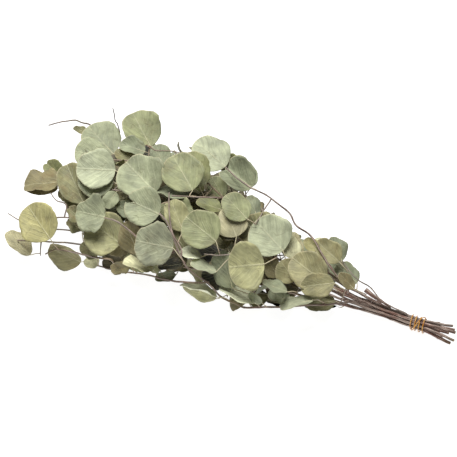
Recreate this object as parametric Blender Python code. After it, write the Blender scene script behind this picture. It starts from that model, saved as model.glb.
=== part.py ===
"""Tied bunch of dried silver-dollar eucalyptus, lying on a table.

Frame: metres, +Z up. The origin is on the table right under the elastic tie. The cut
ends point to +X and the leafy tips to -X, and the near side of the bunch is -Y.

Nine leafy stems, each one body with its twigs, leaf stalks and leaves, are held
together by one wound elastic. The large leaves that face the viewer, and the bare
twigs between them, are read from the picture. The rest grow by a seeded rule. Every
leaf and twig is set clear of all the others, as leaves lie on each other in a bunch.
"""

import math
import random
from collections import namedtuple

import bmesh
import bpy
from mathutils import Matrix, Vector
from mathutils.bvhtree import BVHTree

MM = 0.001

# Driving dimensions
BLADE_THICKNESS = 0.8 * MM
STALK_WIDTH = 1.5 * MM
STALK_ROOT = 1.1 * MM
TWIG_RADIUS = 1.45 * MM
TWIG_TIP_RADIUS = 1.15 * MM
ROOT_SPACING = 10 * MM
LEAFLESS = 60 * MM
STALK_ALIGNED = 0.35
STEM_RADIUS = 2.7 * MM
STEM_TIP_RADIUS = 1.4 * MM
STEM_SIDES = 6
TWIG_SIDES = 4
CLEARANCE = 0.3 * MM
SLOT_RADIUS = 7.6 * MM
STRAND_WIDTH = 1.3 * MM
TIE_TURNS = 4
TIE_STEPS = 12
TIE_HALF_WIDTH = 11.0 * MM
TIE_START = math.radians(-45)
TIE_UNDER = 315 / 360
LOWEST_BLADE = 0.5 * BLADE_THICKNESS
LEAF_TOTAL = 190
LEAF_TRIES = 20000
SEED = 41

# The stems' middle lines, in mm from the tie: where they are set out, how near the tip
# the last of these may be, and from where and how far they sway
STEM_PLACES = (-14, 14, 45, 90, 135, 180, 225, 270, 320, 370, 420, 470, 520)
TIP_GAP = 20
SWAY_FROM = 60
SWAY = 2.2 * MM

# How much further apart the cut ends stand and how far they sink, per mm past the held
# length, and how much the tips sink, and from where
CUT_SPREAD = 0.012
CUT_DROOP = 0.12
CUT_DROOP_LENGTH = 38
CUT_DROOP_HEIGHT = 3 * MM
TIP_DROOP = 0.18
TIP_DROOP_FROM = 400
TIP_DROOP_HEIGHT = 90 * MM

# How far along, in mm, the stems start to follow the outer form's middle
BEND_FROM = 380

# How far from a blade a shoot may carry its stalk, how far a new twig for it may reach,
# how many places are tried for each, and the length of a twig's steps
STALK_REACH = (9 * MM, 32 * MM)
NEW_TWIG_REACH = (12 * MM, 120 * MM)
ROOTS_TRIED = 30
TWIG_STEP = 22 * MM

# How far a bare twig's root may lie from its first point, and the shortest first step
BARE_TWIG_REACH = 90 * MM
SHORTEST_STEP = 4 * MM

# How far the elastic's crossing strand stands off the turns: at its ends and at its middle
CROSSING_LIFT = 0.15 * MM
CROSSING_RISE = 0.95 * MM
CROSSING_ROUND = 0.6

# Side twigs: the first one's place on a stem, how many places apart they stand, how often
# each is tried and their lengths
TWIG_FIRST = 8
TWIG_EVERY = 5
TWIG_TRIES = 5
TWIG_LENGTHS = (34 * MM, 62 * MM)

# Hidden leaves: stalk lengths, blade lengths, widths against the length, and flare, fold
# and curl
STALK_LENGTHS = (12 * MM, 22 * MM)
HIDDEN_LENGTHS = (30 * MM, 50 * MM)
HIDDEN_WIDTHS = (0.85, 1.08)
HIDDEN_FLARES = (0.05, 0.2)
HIDDEN_FOLDS = (0.03, 0.25)
HIDDEN_CURLS = (-0.04, 0.14)

# Shown leaves: how far each may be moved towards the viewer, in mm, and fold and curl
SHIFTS = (0, -4, 4, -8, 8, -12, 12, -17, 17, -23, 23, -30)
SHOWN_FOLDS = (0.03, 0.16)
SHOWN_CURLS = (-0.04, 0.12)

# How much a shown leaf tips from the viewer, and how much more at each move
SHOWN_TILT = 0.03
SHOWN_TILT_STEP = 0.012

# The length that the tie holds on each side, the widest part of the fan of stems, how
# late it opens, and how much wider it gets past that, per metre
HELD_LENGTH = 14 * MM
FAN_AT = 320 * MM
FAN_POWER = 1.7
FAN_HEIGHT = 66 * MM
FAN_GROWTH = 0.9

# The view that the shown leaves are read from: its direction, its distance from the
# tie, what one pixel of the picture covers there, and where the tie is in the picture
SIGHT_AZIMUTH = math.radians(25.5)
SIGHT_ELEVATION = math.radians(45.0)
SIGHT_DISTANCE = 1.65
PIXEL = 1.30 * MM
PICTURE_MIDDLE = 228.5
TIE_U = 417.5
TIE_V = 323.5
LAYER_DEPTH = 13 * MM

# The tie's ring and the height of the bundle's middle over the table. The ring is a
# polygon, and a flat of its outer side lies on the table.
RING_RADIUS = (SLOT_RADIUS + STEM_RADIUS + CLEARANCE + STRAND_WIDTH / 2) / math.cos(math.pi / TIE_STEPS)
TIE_HEIGHT = RING_RADIUS * math.cos(math.pi / TIE_STEPS) + STRAND_WIDTH / 2 - 0.1 * MM
TIE_MIDDLE = Vector((0.0, 0.0, TIE_HEIGHT))

# The bunch's outer form, in mm: distance from the tie towards the tips, how far its
# middle lies to the back, its half width and its height over the table
Station = namedtuple("Station", "along middle half_width height")
OUTER_FORM = (
    Station(40, 0, 14, 26),
    Station(100, 0, 34, 52),
    Station(160, 0, 66, 88),
    Station(220, 0, 92, 115),
    Station(300, 0, 114, 136),
    Station(380, 0, 118, 140),
    Station(450, -8, 108, 128),
    Station(520, -25, 84, 100),
    Station(570, -40, 60, 74),
    Station(610, -50, 30, 44),
)

# The stems, in mm and degrees: place in the tie (None is the middle; 0 is the back, 90
# the top), thickness against the thickest, where the stem passes the widest part of the
# fan (to the back, over the table), how far its tip reaches and where it is cut
Stem = namedtuple("Stem", "slot girth side height reach cut")
STEMS = (
    Stem(22.5, 0.90, 64, 90, 490, 27),
    Stem(67.5, 0.84, 30, 108, 505, 45),
    Stem(112.5, 0.96, -22, 104, 515, 51),
    Stem(157.5, 0.86, -60, 84, 520, 53),
    Stem(202.5, 1.00, -70, 44, 540, 49),
    Stem(247.5, 0.94, -30, 24, 520, 36),
    Stem(292.5, 0.84, 24, 22, 450, 30),
    Stem(337.5, 0.92, 66, 42, 430, 47),
    Stem(None, 0.88, 0, 66, 500, 42),
)

# Leaves read from the picture: pixels of the base and the tip, width against length,
# how much wider the base half is, degrees rolled away from the viewer, and how many
# leaves deep it lies
Shown = namedtuple("Shown", "base_u base_v tip_u tip_v width flare roll layer")
SHOWN = (
    Shown(113.5, 154, 89, 127, 1.10, .12, 0, 1),
    Shown(115.5, 170.5, 78, 168.5, 1.04, .10, 0, 0),
    Shown(113.8, 182, 79.5, 178, 1.08, .10, 0, 1.6),
    Shown(105.3, 217.3, 76, 211, 1.20, .35, 0, 0),
    Shown(120.6, 243.8, 89.4, 221.5, 1.18, .20, 0, 1.5),
    Shown(84, 203, 66, 165, 0.80, .10, 0, 2),
    Shown(84, 201, 60, 188, 0.85, .10, 0, 3),
    Shown(116, 192, 106, 207, 0.85, .10, 0, 2),
    Shown(151, 147, 133, 114, 1.05, .05, 0, 1),
    Shown(145, 152, 121, 143, 0.80, .10, 30, 2),
    Shown(136, 164, 116, 151, 0.60, .10, 0, 3),
    Shown(155.5, 193, 126, 162, 1.10, .12, 0, 1),
    Shown(159.4, 214.2, 127.5, 199.5, 1.10, .15, 0, 0),
    Shown(173.3, 248.2, 136, 241, 1.12, .12, 0, 0),
    Shown(192.5, 190.5, 173, 155.5, 1.00, .12, 0, 0),
    Shown(200, 188, 190, 153, 0.85, .10, 0, 1),
    Shown(225.5, 167, 197, 141.5, 0.95, .12, 0, 1),
    Shown(252, 188, 223, 165, 0.95, .10, 0, 1),
    Shown(251, 187.5, 248, 167, 0.80, .10, 0, 2),
    Shown(216, 241.3, 187, 218, 1.05, .12, 0, 0),
    Shown(236.3, 236.7, 226, 208, 1.00, .35, 0, 1),
    Shown(247, 219, 226, 196, 0.85, .10, 0, 0),
    Shown(223, 197, 212, 178, 0.90, .10, 0, 2),
    Shown(257, 217, 250, 195, 0.60, .10, 0, 2),
    Shown(283, 251, 257, 222.5, 1.16, .10, 0, 1),
    Shown(264.3, 264, 230, 267.5, 1.42, .10, 0, 0),
    Shown(233, 288, 220, 252.5, 0.72, .10, 0, 2),
    Shown(323.5, 283, 293.5, 258.5, 0.95, .10, 0, 0),
    Shown(334, 283, 302, 287, 0.75, .10, 0, -1),
    Shown(296, 258, 285, 236, 0.80, .10, 0, 1),
    Shown(295, 281, 281, 262, 1.10, .10, 0, 1),
    Shown(300, 257, 293, 233, 0.50, .10, 0, 1),
    Shown(318, 250, 305, 240, 0.80, .10, 0, 1),
    Shown(339, 262, 318, 242, 0.80, .10, 0, 0),
    Shown(331, 249, 315, 240, 0.60, .10, 0, 1),
    Shown(342, 261, 333, 238, 0.80, .10, 30, 2),
    Shown(357, 283, 338, 265, 0.80, .10, 0, 1),
    Shown(354, 289, 340, 274, 0.60, .10, 0, 0),
    Shown(335, 301, 307, 304, 0.75, .10, 30, 2),
    Shown(313, 300, 281, 305, 0.75, .10, 66, -1),
    Shown(217, 297, 183, 282, 1.00, .10, 66, 0),
    Shown(254, 303, 220, 289, 0.90, .10, 66, 1),
    Shown(216, 272, 192, 262, 0.80, .10, 60, 0),
    Shown(262, 303, 249, 294, 0.60, .10, 0, 1),
    Shown(287, 292, 263, 283, 0.90, .10, 66, 0),
    Shown(290, 301, 269, 293, 0.80, .10, 40, 2),
    Shown(97, 257, 81, 245, 0.70, .10, 0, 1),
    Shown(99, 258, 85, 265, 0.80, .10, 0, 1),
    Shown(122, 262, 103, 264, 0.90, .10, 30, 1),
    Shown(130, 266, 111, 269, 0.70, .10, 0, 0),
    Shown(153, 270, 124, 261, 0.90, .10, 66, 0),
    Shown(183, 264, 159, 267, 0.90, .10, 60, 1),
    Shown(176, 275, 156, 279, 0.70, .10, 40, 2),
    Shown(183, 231, 171, 201, 0.75, .10, 0, 1),
    Shown(188, 222, 176, 198, 0.80, .10, 0, 2),
    Shown(221, 210, 198, 200, 0.70, .10, 40, 2),
    Shown(163.5, 167, 156.5, 145, 0.95, .10, 0, 2),
    Shown(180, 167, 168, 161, 0.80, .10, 0, 2),
    Shown(83, 221, 68, 208, 0.70, .10, 0, 2),
    Shown(82, 230, 67, 221, 0.70, .10, 0, 3),
    Shown(138, 254, 126, 223, 0.75, .10, 0, 2),
    Shown(201, 257, 181, 250, 0.80, .10, 50, 1),
    Shown(104, 155, 76, 152, 1.12, .10, 0, 2),
    Shown(50.5, 239, 27.5, 207, 1.00, .10, 0, 0),
    Shown(81, 262, 50, 248, 0.80, .10, 0, 0),
    Shown(30, 255, 8, 233, 1.00, .10, 63, 0),
    Shown(60, 182, 24.5, 184, 0.95, .10, 45, 0),
    Shown(63, 178, 46, 163, 0.80, .10, 0, 1),
    Shown(87, 133, 74, 128, 0.60, .10, 30, 2),
    Shown(178, 223, 163, 204, 0.80, .10, 0, 2),
    Shown(186, 250, 172, 232, 0.80, .10, 0, 2),
    Shown(133, 215, 119, 203, 0.90, .10, 0, 3),
    Shown(279, 277, 266, 259, 0.80, .10, 0, 2),
)

# Bare twigs read from the picture: how deep in the bunch the root is, in mm, thickness
# against the others, and pixels from the root outwards
BareTwig = namedtuple("BareTwig", "depth girth pixels")
BARE_TWIGS = (
    BareTwig(2, 1.0, (
        (347, 287), (327, 262), (311.5, 236.4), (296.5, 225.3), (289, 213), (274, 201),
        (264.8, 194.3), (248, 186), (235, 176.7), (225.5, 167))),
    BareTwig(2, 1.0, ((408, 314), (383.6, 300.8), (370.8, 288), (358, 279.8), (347, 268), (342, 261))),
    BareTwig(0, 1.7, ((392, 306), (378, 299), (365, 290))),
    BareTwig(2, 1.0, (
        (346, 303), (298, 306), (250, 307.7), (235.7, 303.2), (220.5, 297), (209, 284.5),
        (187.6, 267.6), (177, 248), (168, 223.7), (159, 213.8))),
    BareTwig(2, 1.0, ((160, 256), (139.6, 240), (121, 223.7), (104.9, 217.6))),
    BareTwig(4, 1.0, ((206, 283), (172, 281), (148, 275), (121, 271), (97, 266))),
    BareTwig(4, 1.0, ((112, 260), (99, 258), (81, 254.2), (57.4, 249.6), (45, 254))),
    BareTwig(55, 0.9, ((102, 138), (90.5, 125.4), (81.4, 122.3), (74.4, 120.2), (61, 122), (48.4, 125.4))),
    BareTwig(55, 0.9, ((119, 136), (117.6, 124.5), (115, 119.4), (112.7, 108))),
    BareTwig(20, 1.0, ((66, 204.7), (56, 200.5), (50.5, 192.8))),
    BareTwig(4, 1.0, ((22, 221), (8, 213.5))),
    BareTwig(10, 1.0, ((150, 148), (156, 150.5), (170, 151), (181, 153), (186, 157))),
    BareTwig(2, 0.9, ((181, 249), (172.5, 232.5), (168.8, 207.5), (169.4, 193))),
    BareTwig(12, 0.9, ((223, 198), (208, 197.5), (195, 197), (172, 196))),
    BareTwig(8, 0.9, ((234, 254.5), (218, 255), (204, 254))),
)

# The leafy mass's outline in the picture, which no hidden leaf reaches over
MASS_OUTLINE = (
    (79, 157), (84, 130), (100, 122), (121, 126), (130, 116), (148, 114), (158, 130), (162, 148),
    (190, 152), (200, 140), (215, 138), (227, 152), (240, 160), (254, 174), (254, 192), (260, 206),
    (270, 217), (284, 222), (289, 237), (318, 243), (336, 246), (342, 264), (354, 274), (352, 290),
    (334, 298), (328, 312), (306, 312), (298, 304), (262, 302), (225, 301), (202, 276), (190, 270),
    (179, 270), (176, 280), (159, 280), (150, 272), (106, 270), (102, 261), (91, 251), (86, 240),
    (78, 232), (69, 222), (70, 206), (63, 203), (60, 188), (64, 174), (76, 165),
)


def clean_start():
    """Remove whatever the scene holds."""
    for item in list(bpy.data.objects):
        bpy.data.objects.remove(item, do_unlink=True)


# The view

def sight_axes():
    """Right, up, and towards the viewer."""
    turn, rise = SIGHT_AZIMUTH, SIGHT_ELEVATION
    right = Vector((math.cos(turn), math.sin(turn), 0.0))
    back = Vector((math.cos(rise) * math.sin(turn), -math.cos(rise) * math.cos(turn), math.sin(rise)))
    return right, back.cross(right), back


RIGHT, UP, BACK = sight_axes()
PICTURE_POINT = TIE_MIDDLE - RIGHT * (TIE_U - PICTURE_MIDDLE) * PIXEL - UP * (PICTURE_MIDDLE - TIE_V) * PIXEL


def seen_at(u, v, nearer):
    """The point that a pixel shows, at a distance in front of the picture's plane."""
    flat = RIGHT * ((u - PICTURE_MIDDLE) * PIXEL) + UP * ((PICTURE_MIDDLE - v) * PIXEL)
    return PICTURE_POINT + flat * (1.0 - nearer / SIGHT_DISTANCE) + BACK * nearer


# The outer form

def station_at(along):
    """The bunch's middle, half width and height, in metres, at a distance from the tie."""
    place = along / MM
    if place <= OUTER_FORM[0].along:
        before, after, share = OUTER_FORM[0], OUTER_FORM[0], 0.0
    elif place >= OUTER_FORM[-1].along:
        before, after, share = OUTER_FORM[-1], OUTER_FORM[-1], 0.0
    else:
        count = next(i for i, station in enumerate(OUTER_FORM) if station.along > place)
        before, after = OUTER_FORM[count - 1], OUTER_FORM[count]
        share = (place - before.along) / (after.along - before.along)
    middle = before.middle + (after.middle - before.middle) * share
    half_width = before.half_width + (after.half_width - before.half_width) * share
    height = before.height + (after.height - before.height) * share
    return middle * MM, half_width * MM, height * MM


def outside(point):
    """Below 0 inside the bunch's outer form, 0 on it, above 0 outside."""
    middle, half_width, height = station_at(-point.x)
    across = (point.y - middle) / half_width
    up = (point.z - height / 2) / (height / 2)
    past = max(0.0, -point.x - OUTER_FORM[-1].along * MM) / (20 * MM)
    return across * across + up * up + past - 1.0


def outward(point):
    """The outer form's outward direction at a point."""
    middle, half_width, height = station_at(-point.x)
    return Vector((
        0.0,
        (point.y - middle) / (half_width * half_width),
        (point.z - height / 2) / (height * height / 4),
    )).normalized()


def surface_nearness(u, v):
    """How near the viewer the outer form lies at a pixel, or passes nearest to it."""
    best, nearest = None, 0.0
    for count in range(130):
        nearer = (160 - 4 * count) * MM
        value = outside(seen_at(u, v, nearer))
        if value <= 0.0:
            return nearer
        if best is None or value < best:
            best, nearest = value, nearer
    return nearest


VIEWER = PICTURE_POINT + BACK * SIGHT_DISTANCE


def picture_place(point):
    """The pixel that a point is seen at."""
    nearer = (point - PICTURE_POINT).dot(BACK)
    scale = PIXEL * (1.0 - nearer / SIGHT_DISTANCE)
    offset = point - PICTURE_POINT
    return PICTURE_MIDDLE + offset.dot(RIGHT) / scale, PICTURE_MIDDLE - offset.dot(UP) / scale


def in_mass(point):
    """Whether a point is seen inside the leafy mass's outline."""
    u, v = picture_place(point)
    inside = False
    for (u1, v1), (u2, v2) in zip(MASS_OUTLINE, MASS_OUTLINE[1:] + MASS_OUTLINE[:1]):
        if (v1 > v) != (v2 > v) and u < u1 + (u2 - u1) * (v - v1) / (v2 - v1):
            inside = not inside
    return inside


# Plain meshes: a list of points and a list of faces

def tube(points, radii, sides, grow=0.0):
    """A closed tube along points, kept on the table, with a ring square to the route at each."""
    along = (points[1] - points[0]).normalized()
    side = along.orthogonal().normalized()
    verts = []
    for count, point in enumerate(points):
        before = points[max(count - 1, 0)]
        after = points[min(count + 1, len(points) - 1)]
        turn = (after - before).normalized()
        side = (side - turn * side.dot(turn)).normalized()
        other = turn.cross(side)
        for corner in range(sides):
            angle = 2 * math.pi * corner / sides
            reach = radii[count] + grow
            verts.append(point + side * (reach * math.cos(angle)) + other * (reach * math.sin(angle)))
    faces = [tuple(reversed(range(sides)))]
    for ring in range(len(points) - 1):
        for corner in range(sides):
            low = ring * sides + corner
            next_low = ring * sides + (corner + 1) % sides
            faces.append((low, next_low, next_low + sides, low + sides))
    last = (len(points) - 1) * sides
    faces.append(tuple(range(last, last + sides)))
    for vert in verts:
        vert.z = max(vert.z, 0.0)
    return verts, faces


Leaf = namedtuple("Leaf", "base along side face length width flare fold curl root plan")

# A blade's plan: the outline's corners on each side of the midrib, in degrees round from
# the base, the midrib's points as shares of the length, and the triangles of one face.
# The corners go round the outline from the base's right, and the midrib's come last.
Plan = namedtuple("Plan", "angles midrib triangles")
ROUND_PLAN = Plan((30, 68, 106, 144), (0.34, 0.68), (
    (0, 1, 11), (1, 2, 11), (2, 12, 11), (2, 3, 12), (3, 4, 12), (4, 5, 12),
    (5, 6, 12), (6, 7, 12), (7, 8, 12), (8, 11, 12), (8, 9, 11), (9, 10, 11), (10, 0, 11),
))
HIDDEN_PLAN = Plan((38, 84, 130), (0.5,), (
    (0, 1, 9), (1, 2, 9), (2, 3, 9), (3, 4, 9), (4, 5, 9), (5, 6, 9), (6, 7, 9), (7, 8, 9), (8, 0, 9),
))


def blade_point(leaf, share, across):
    """A point of the blade's middle surface, at a share of its length and a place across."""
    lift = leaf.fold * abs(across) - leaf.curl * leaf.length * share * share
    point = leaf.base + leaf.along * (leaf.length * share) + leaf.side * across + leaf.face * lift
    point.z = max(point.z, LOWEST_BLADE)
    return point


def leaf_middle_points(leaf, grow=0.0):
    """The blade's outline from the base's right corner round the tip, then the midrib."""
    right, left = [], []
    for angle in leaf.plan.angles:
        turn = math.radians(angle)
        share = (1 - math.cos(turn)) / 2
        across = leaf.width / 2 * math.sin(turn) * (1 + leaf.flare * math.cos(turn)) + grow
        right.append(blade_point(leaf, share, across))
        left.append(blade_point(leaf, share, -across))
    points = [blade_point(leaf, 0.0, STALK_WIDTH / 2)]
    points += right
    points.append(blade_point(leaf, 1.02 + grow / leaf.length, 0.0))
    points += reversed(left)
    points.append(blade_point(leaf, 0.0, -STALK_WIDTH / 2))
    points += [blade_point(leaf, share, 0.0) for share in leaf.plan.midrib]
    return points


def leaf_mesh(leaf, grow=0.0):
    """One closed leaf: a thin blade of two like faces, a rim, and its stalk to the root."""
    middle = leaf_middle_points(leaf, grow)
    half = leaf.face * (BLADE_THICKNESS / 2 + grow)
    count = len(middle)
    verts = [point + half for point in middle] + [point - half for point in middle]
    for vert in verts:
        vert.z = max(vert.z, 0.0)
    faces = list(leaf.plan.triangles)
    faces += [(a + count, c + count, b + count) for a, b, c in leaf.plan.triangles]
    last = count - len(leaf.plan.midrib) - 1
    for corner in range(last):
        faces.append((corner, corner + count, corner + 1))
        faces.append((corner + 1, corner + count, corner + 1 + count))
    if leaf.root is None:
        faces.append((last, last + count, 0))
        faces.append((0, last + count, count))
        return verts, faces
    stalk = (leaf.base - leaf.root).normalized()
    side = (leaf.side - stalk * leaf.side.dot(stalk)).normalized()
    up = stalk.cross(side)
    if up.dot(leaf.face) < 0:
        up = -up
    reach = STALK_ROOT / 2 + grow
    root = len(verts)
    verts += [
        leaf.root + (side + up) * reach,
        leaf.root + (up - side) * reach,
        leaf.root - (side + up) * reach,
        leaf.root + (side - up) * reach,
    ]
    for vert in verts[root:]:
        vert.z = max(vert.z, 0.0)
    blade_end = (0, last, last + count, count)
    for corner in range(4):
        a, b = blade_end[corner], blade_end[(corner + 1) % 4]
        c, d = root + (corner + 1) % 4, root + corner
        faces.append((a, b, c))
        faces.append((a, c, d))
    faces.append((root, root + 1, root + 2))
    faces.append((root, root + 2, root + 3))
    return verts, faces


# What is already in place, so that nothing crosses

Placed = namedtuple("Placed", "tree low high")


class Crowd:
    """Every shoot and leaf in place, each a little larger than life."""

    def __init__(self):
        self.pieces = {}
        self.count = 0

    @staticmethod
    def outline(mesh):
        """A mesh's search tree and its box."""
        verts, faces = mesh
        low = [min(vert[axis] for vert in verts) for axis in range(3)]
        high = [max(vert[axis] for vert in verts) for axis in range(3)]
        return Placed(BVHTree.FromPolygons(verts, faces), low, high)

    def is_clear(self, mesh, touching=()):
        """Whether a mesh crosses nothing but the pieces that it may touch."""
        new = self.outline(mesh)
        for key, old in self.pieces.items():
            if key in touching:
                continue
            if any(new.low[axis] > old.high[axis] or new.high[axis] < old.low[axis] for axis in range(3)):
                continue
            if new.tree.overlap(old.tree):
                return False
        return True

    def add(self, mesh):
        """Take up a mesh's room, and return the key to it."""
        self.count += 1
        self.pieces[self.count] = self.outline(mesh)
        return self.count

    def drop(self, key):
        """Free a mesh's room again."""
        del self.pieces[key]


# Stems and twigs

Shoot = namedtuple("Shoot", "stem key points radii kind places")


def root_places(points, kind):
    """Places along a shoot's middle line where a root may be sunk."""
    places = []
    for start, end in zip(points, points[1:]):
        steps = max(1, round((end - start).length / ROOT_SPACING))
        for count in range(steps):
            place = start.lerp(end, (count + 0.75) / steps)
            if kind == "twig" or place.x < -LEAFLESS:
                places.append(place)
    return places


def fan_share(along):
    """How far the fan of stems has opened at a distance from the tie."""
    if along <= FAN_AT:
        return (max(along - HELD_LENGTH, 0.0) / (FAN_AT - HELD_LENGTH)) ** FAN_POWER
    return 1.0 + FAN_GROWTH * (along - FAN_AT)


def stem_route(stem, noise):
    """A stem's middle line from its cut end, through the tie, to its tip."""
    slot = Vector((0.0, 0.0, 0.0))
    if stem.slot is not None:
        angle = math.radians(stem.slot)
        slot = Vector((0.0, math.cos(angle), math.sin(angle))) * SLOT_RADIUS
    aim = Vector((0.0, stem.side * MM, stem.height * MM - FAN_HEIGHT))
    places = [-stem.cut]
    places += [place for place in STEM_PLACES if place < stem.reach - TIP_GAP]
    places.append(stem.reach)
    points = []
    for place in places:
        along = place * MM
        share = fan_share(along)
        middle = station_at(along)[0] if place > BEND_FROM else 0.0
        height = TIE_HEIGHT + (FAN_HEIGHT - TIE_HEIGHT) * min(share, 1.0)
        if place < 0:
            past = max(0.0, -along - HELD_LENGTH) / MM
            point = Vector((-along, 0.0, TIE_HEIGHT)) + slot * (1.0 + CUT_SPREAD * past)
            point.z -= max(0.0, point.z - CUT_DROOP_HEIGHT) * CUT_DROOP * (past / CUT_DROOP_LENGTH) ** 2
        else:
            held = min(share, 1.0)
            point = Vector((-along, middle * 0.8, height)) + slot * (1 - held) + aim * share
            sway = 0.0 if place < SWAY_FROM else SWAY
            point.y += noise.uniform(-sway, sway)
            point.z += noise.uniform(-sway, sway)
        if place > TIP_DROOP_FROM:
            point.z -= (place - TIP_DROOP_FROM) * MM * TIP_DROOP * (point.z / TIP_DROOP_HEIGHT)
        point.z = max(point.z, STEM_RADIUS * stem.girth + CLEARANCE)
        points.append(point)
    return points


def stem_radii(stem, points):
    """A stem's thickness, thickest at the cut end."""
    thick = STEM_RADIUS * stem.girth
    reach = -points[-1].x
    radii = []
    for point in points:
        share = max(0.0, -point.x) / reach
        radii.append(thick + (STEM_TIP_RADIUS - thick) * share ** 0.8)
    return radii


def twig_radii(count, girth=1.0):
    """A twig's thickness from root to tip."""
    return [girth * (TWIG_RADIUS + (TWIG_TIP_RADIUS - TWIG_RADIUS) * i / (count - 1)) for i in range(count)]


def bowed(start, end, bow, steps):
    """Points from start to end, bowed sideways by a vector at the middle."""
    points = []
    for count in range(steps + 1):
        share = count / steps
        points.append(start.lerp(end, share) + bow * (4 * share * (1 - share)))
    return points


class Bunch:
    """The growing bunch: its shoots, its leaves and what is taken."""

    def __init__(self):
        self.noise = random.Random(SEED)
        self.crowd = Crowd()
        self.shoots = []
        self.leaves = []
        self.shown = None

    def add_shoot(self, stem, points, radii, kind, parent=None):
        """Put a stem or twig in place where it is clear, and return it."""
        sides = STEM_SIDES if kind == "stem" else TWIG_SIDES
        loose = tube(points, radii, sides, CLEARANCE)
        touching = () if parent is None else (parent.key,)
        if kind != "stem" and not self.crowd.is_clear(loose, touching):
            return None
        shoot = Shoot(stem, self.crowd.add(loose), points, radii, kind, root_places(points, kind))
        self.shoots.append(shoot)
        return shoot

    def anchors(self, near, low, high, ahead=True):
        """Places on shoots between two distances from a point, nearest first."""
        found = []
        for shoot in self.shoots:
            for count, place in enumerate(shoot.places):
                distance = (place - near).length
                if not low <= distance <= high:
                    continue
                if ahead and place.x < near.x - 0.35 * distance:
                    continue
                found.append((distance, shoot.key, count, shoot))
        found.sort(key=lambda item: item[:3])
        return [(item[3], item[3].places[item[2]]) for item in found]

    def hides_shown(self, points):
        """Whether any of the points lies between the viewer and a shown leaf."""
        for point in points:
            if self.shown.ray_cast(point, (point - VIEWER).normalized(), 0.3)[0] is not None:
                return True
        return False

    def try_leaf(self, leaf, shoot):
        """Put a leaf in place on a shoot where it is clear."""
        loose = leaf_mesh(leaf, CLEARANCE)
        if not self.crowd.is_clear(loose, (shoot.key,)):
            return False
        self.crowd.add(loose)
        self.leaves.append((shoot.stem, leaf))
        return True


def grow_stems(bunch):
    """The nine stems, through the tie and out to their tips."""
    for number, stem in enumerate(STEMS):
        points = stem_route(stem, bunch.noise)
        bunch.add_shoot(number, points, stem_radii(stem, points), "stem")


def rolled(face, axis, degrees):
    """A blade's facing, rolled about its length so that it turns upwards."""
    one = Matrix.Rotation(math.radians(degrees), 3, axis) @ face
    other = Matrix.Rotation(math.radians(-degrees), 3, axis) @ face
    return one if one.z > other.z else other


def shown_blade(shown, shift, tilt, noise):
    """The blade that a shown leaf's pixels give, at a shift towards the viewer."""
    middle_u = (shown.base_u + shown.tip_u) / 2
    middle_v = (shown.base_v + shown.tip_v) / 2
    nearer = surface_nearness(middle_u, middle_v) - shown.layer * LAYER_DEPTH + shift
    middle = seen_at(middle_u, middle_v, nearer)
    face = BACK if shown.roll else (BACK + outward(middle) * 0.4).normalized()
    face = (face + Vector([noise.gauss(0, tilt) for _ in range(3)])).normalized()
    flat = RIGHT * (shown.tip_u - shown.base_u) + UP * (shown.base_v - shown.tip_v)
    flat *= PIXEL * (1.0 - nearer / SIGHT_DISTANCE)
    span = flat - BACK * (flat.dot(face) / BACK.dot(face))
    along = span.normalized()
    if shown.roll:
        face = rolled(face, along, shown.roll)
    side = face.cross(along).normalized()
    face = along.cross(side).normalized()
    return Leaf(
        middle - span / 2, along, side, face, span.length, flat.length * shown.width, shown.flare,
        noise.uniform(*SHOWN_FOLDS), noise.uniform(*SHOWN_CURLS), None,
        ROUND_PLAN if shown.layer < 2 else HIDDEN_PLAN,
    )


# The ways that a stalk may leave its blade, tried in turn: its length in mm, its turn to
# the side and its dip into the bunch
STALK_WAYS = (
    (15, 0.0, 0.8), (18, 0.5, 0.8), (13, -0.5, 0.8), (18, -0.8, 0.5),
    (20, 0.9, 0.5), (12, 0.2, 1.2), (22, 0.0, 0.3), (24, 0.6, 1.2), (24, -0.6, 1.2),
    (10, 0.0, 1.0), (16, 0.3, 0.1), (30, -0.3, 0.6), (14, -1.0, 0.2), (14, 1.0, 0.2),
)


def stalk_root(leaf, bunch):
    """A shoot and a place on it that a blade's stalk can reach, or a new twig to it."""
    for shoot, place in bunch.anchors(leaf.base, *STALK_REACH, False)[:ROOTS_TRIED]:
        if (leaf.base - place).normalized().dot(leaf.along) < STALK_ALIGNED:
            continue
        whole = leaf._replace(root=place)
        if bunch.try_leaf(whole, shoot):
            return True
    inward = -outward(leaf.base)
    for reach, turn, dip in STALK_WAYS:
        way = (inward * dip - leaf.along + Vector((0.3, 0, 0)) + leaf.side * turn).normalized()
        end = leaf.base + way * (reach * MM)
        end.z = max(end.z, 3 * MM)
        if (leaf.base - end).normalized().dot(leaf.along) < STALK_ALIGNED:
            continue
        for shoot, start in bunch.anchors(end, *NEW_TWIG_REACH)[:ROOTS_TRIED]:
            bow = Vector((0.0, 0.0, (end - start).length * bunch.noise.uniform(-0.06, 0.08)))
            steps = max(2, round((end - start).length / TWIG_STEP))
            points = bowed(start, end, bow, steps)
            if bunch.hides_shown(points[1:]):
                continue
            twig = bunch.add_shoot(shoot.stem, points, twig_radii(len(points)), "twig", shoot)
            if twig and bunch.try_leaf(leaf._replace(root=twig.places[-1]), twig):
                return True
            if twig:
                bunch.crowd.drop(twig.key)
                bunch.shoots.remove(twig)
    return False


def moved_root(shown, bunch):
    """The stalk of a shown leaf that has none at its first place: other depths in turn."""
    for count, shift in enumerate(SHIFTS):
        blade = shown_blade(shown, shift * MM, SHOWN_TILT + SHOWN_TILT_STEP * count, bunch.noise)
        if bunch.crowd.is_clear(leaf_mesh(blade, CLEARANCE)) and stalk_root(blade, bunch):
            return True
    return False


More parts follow.
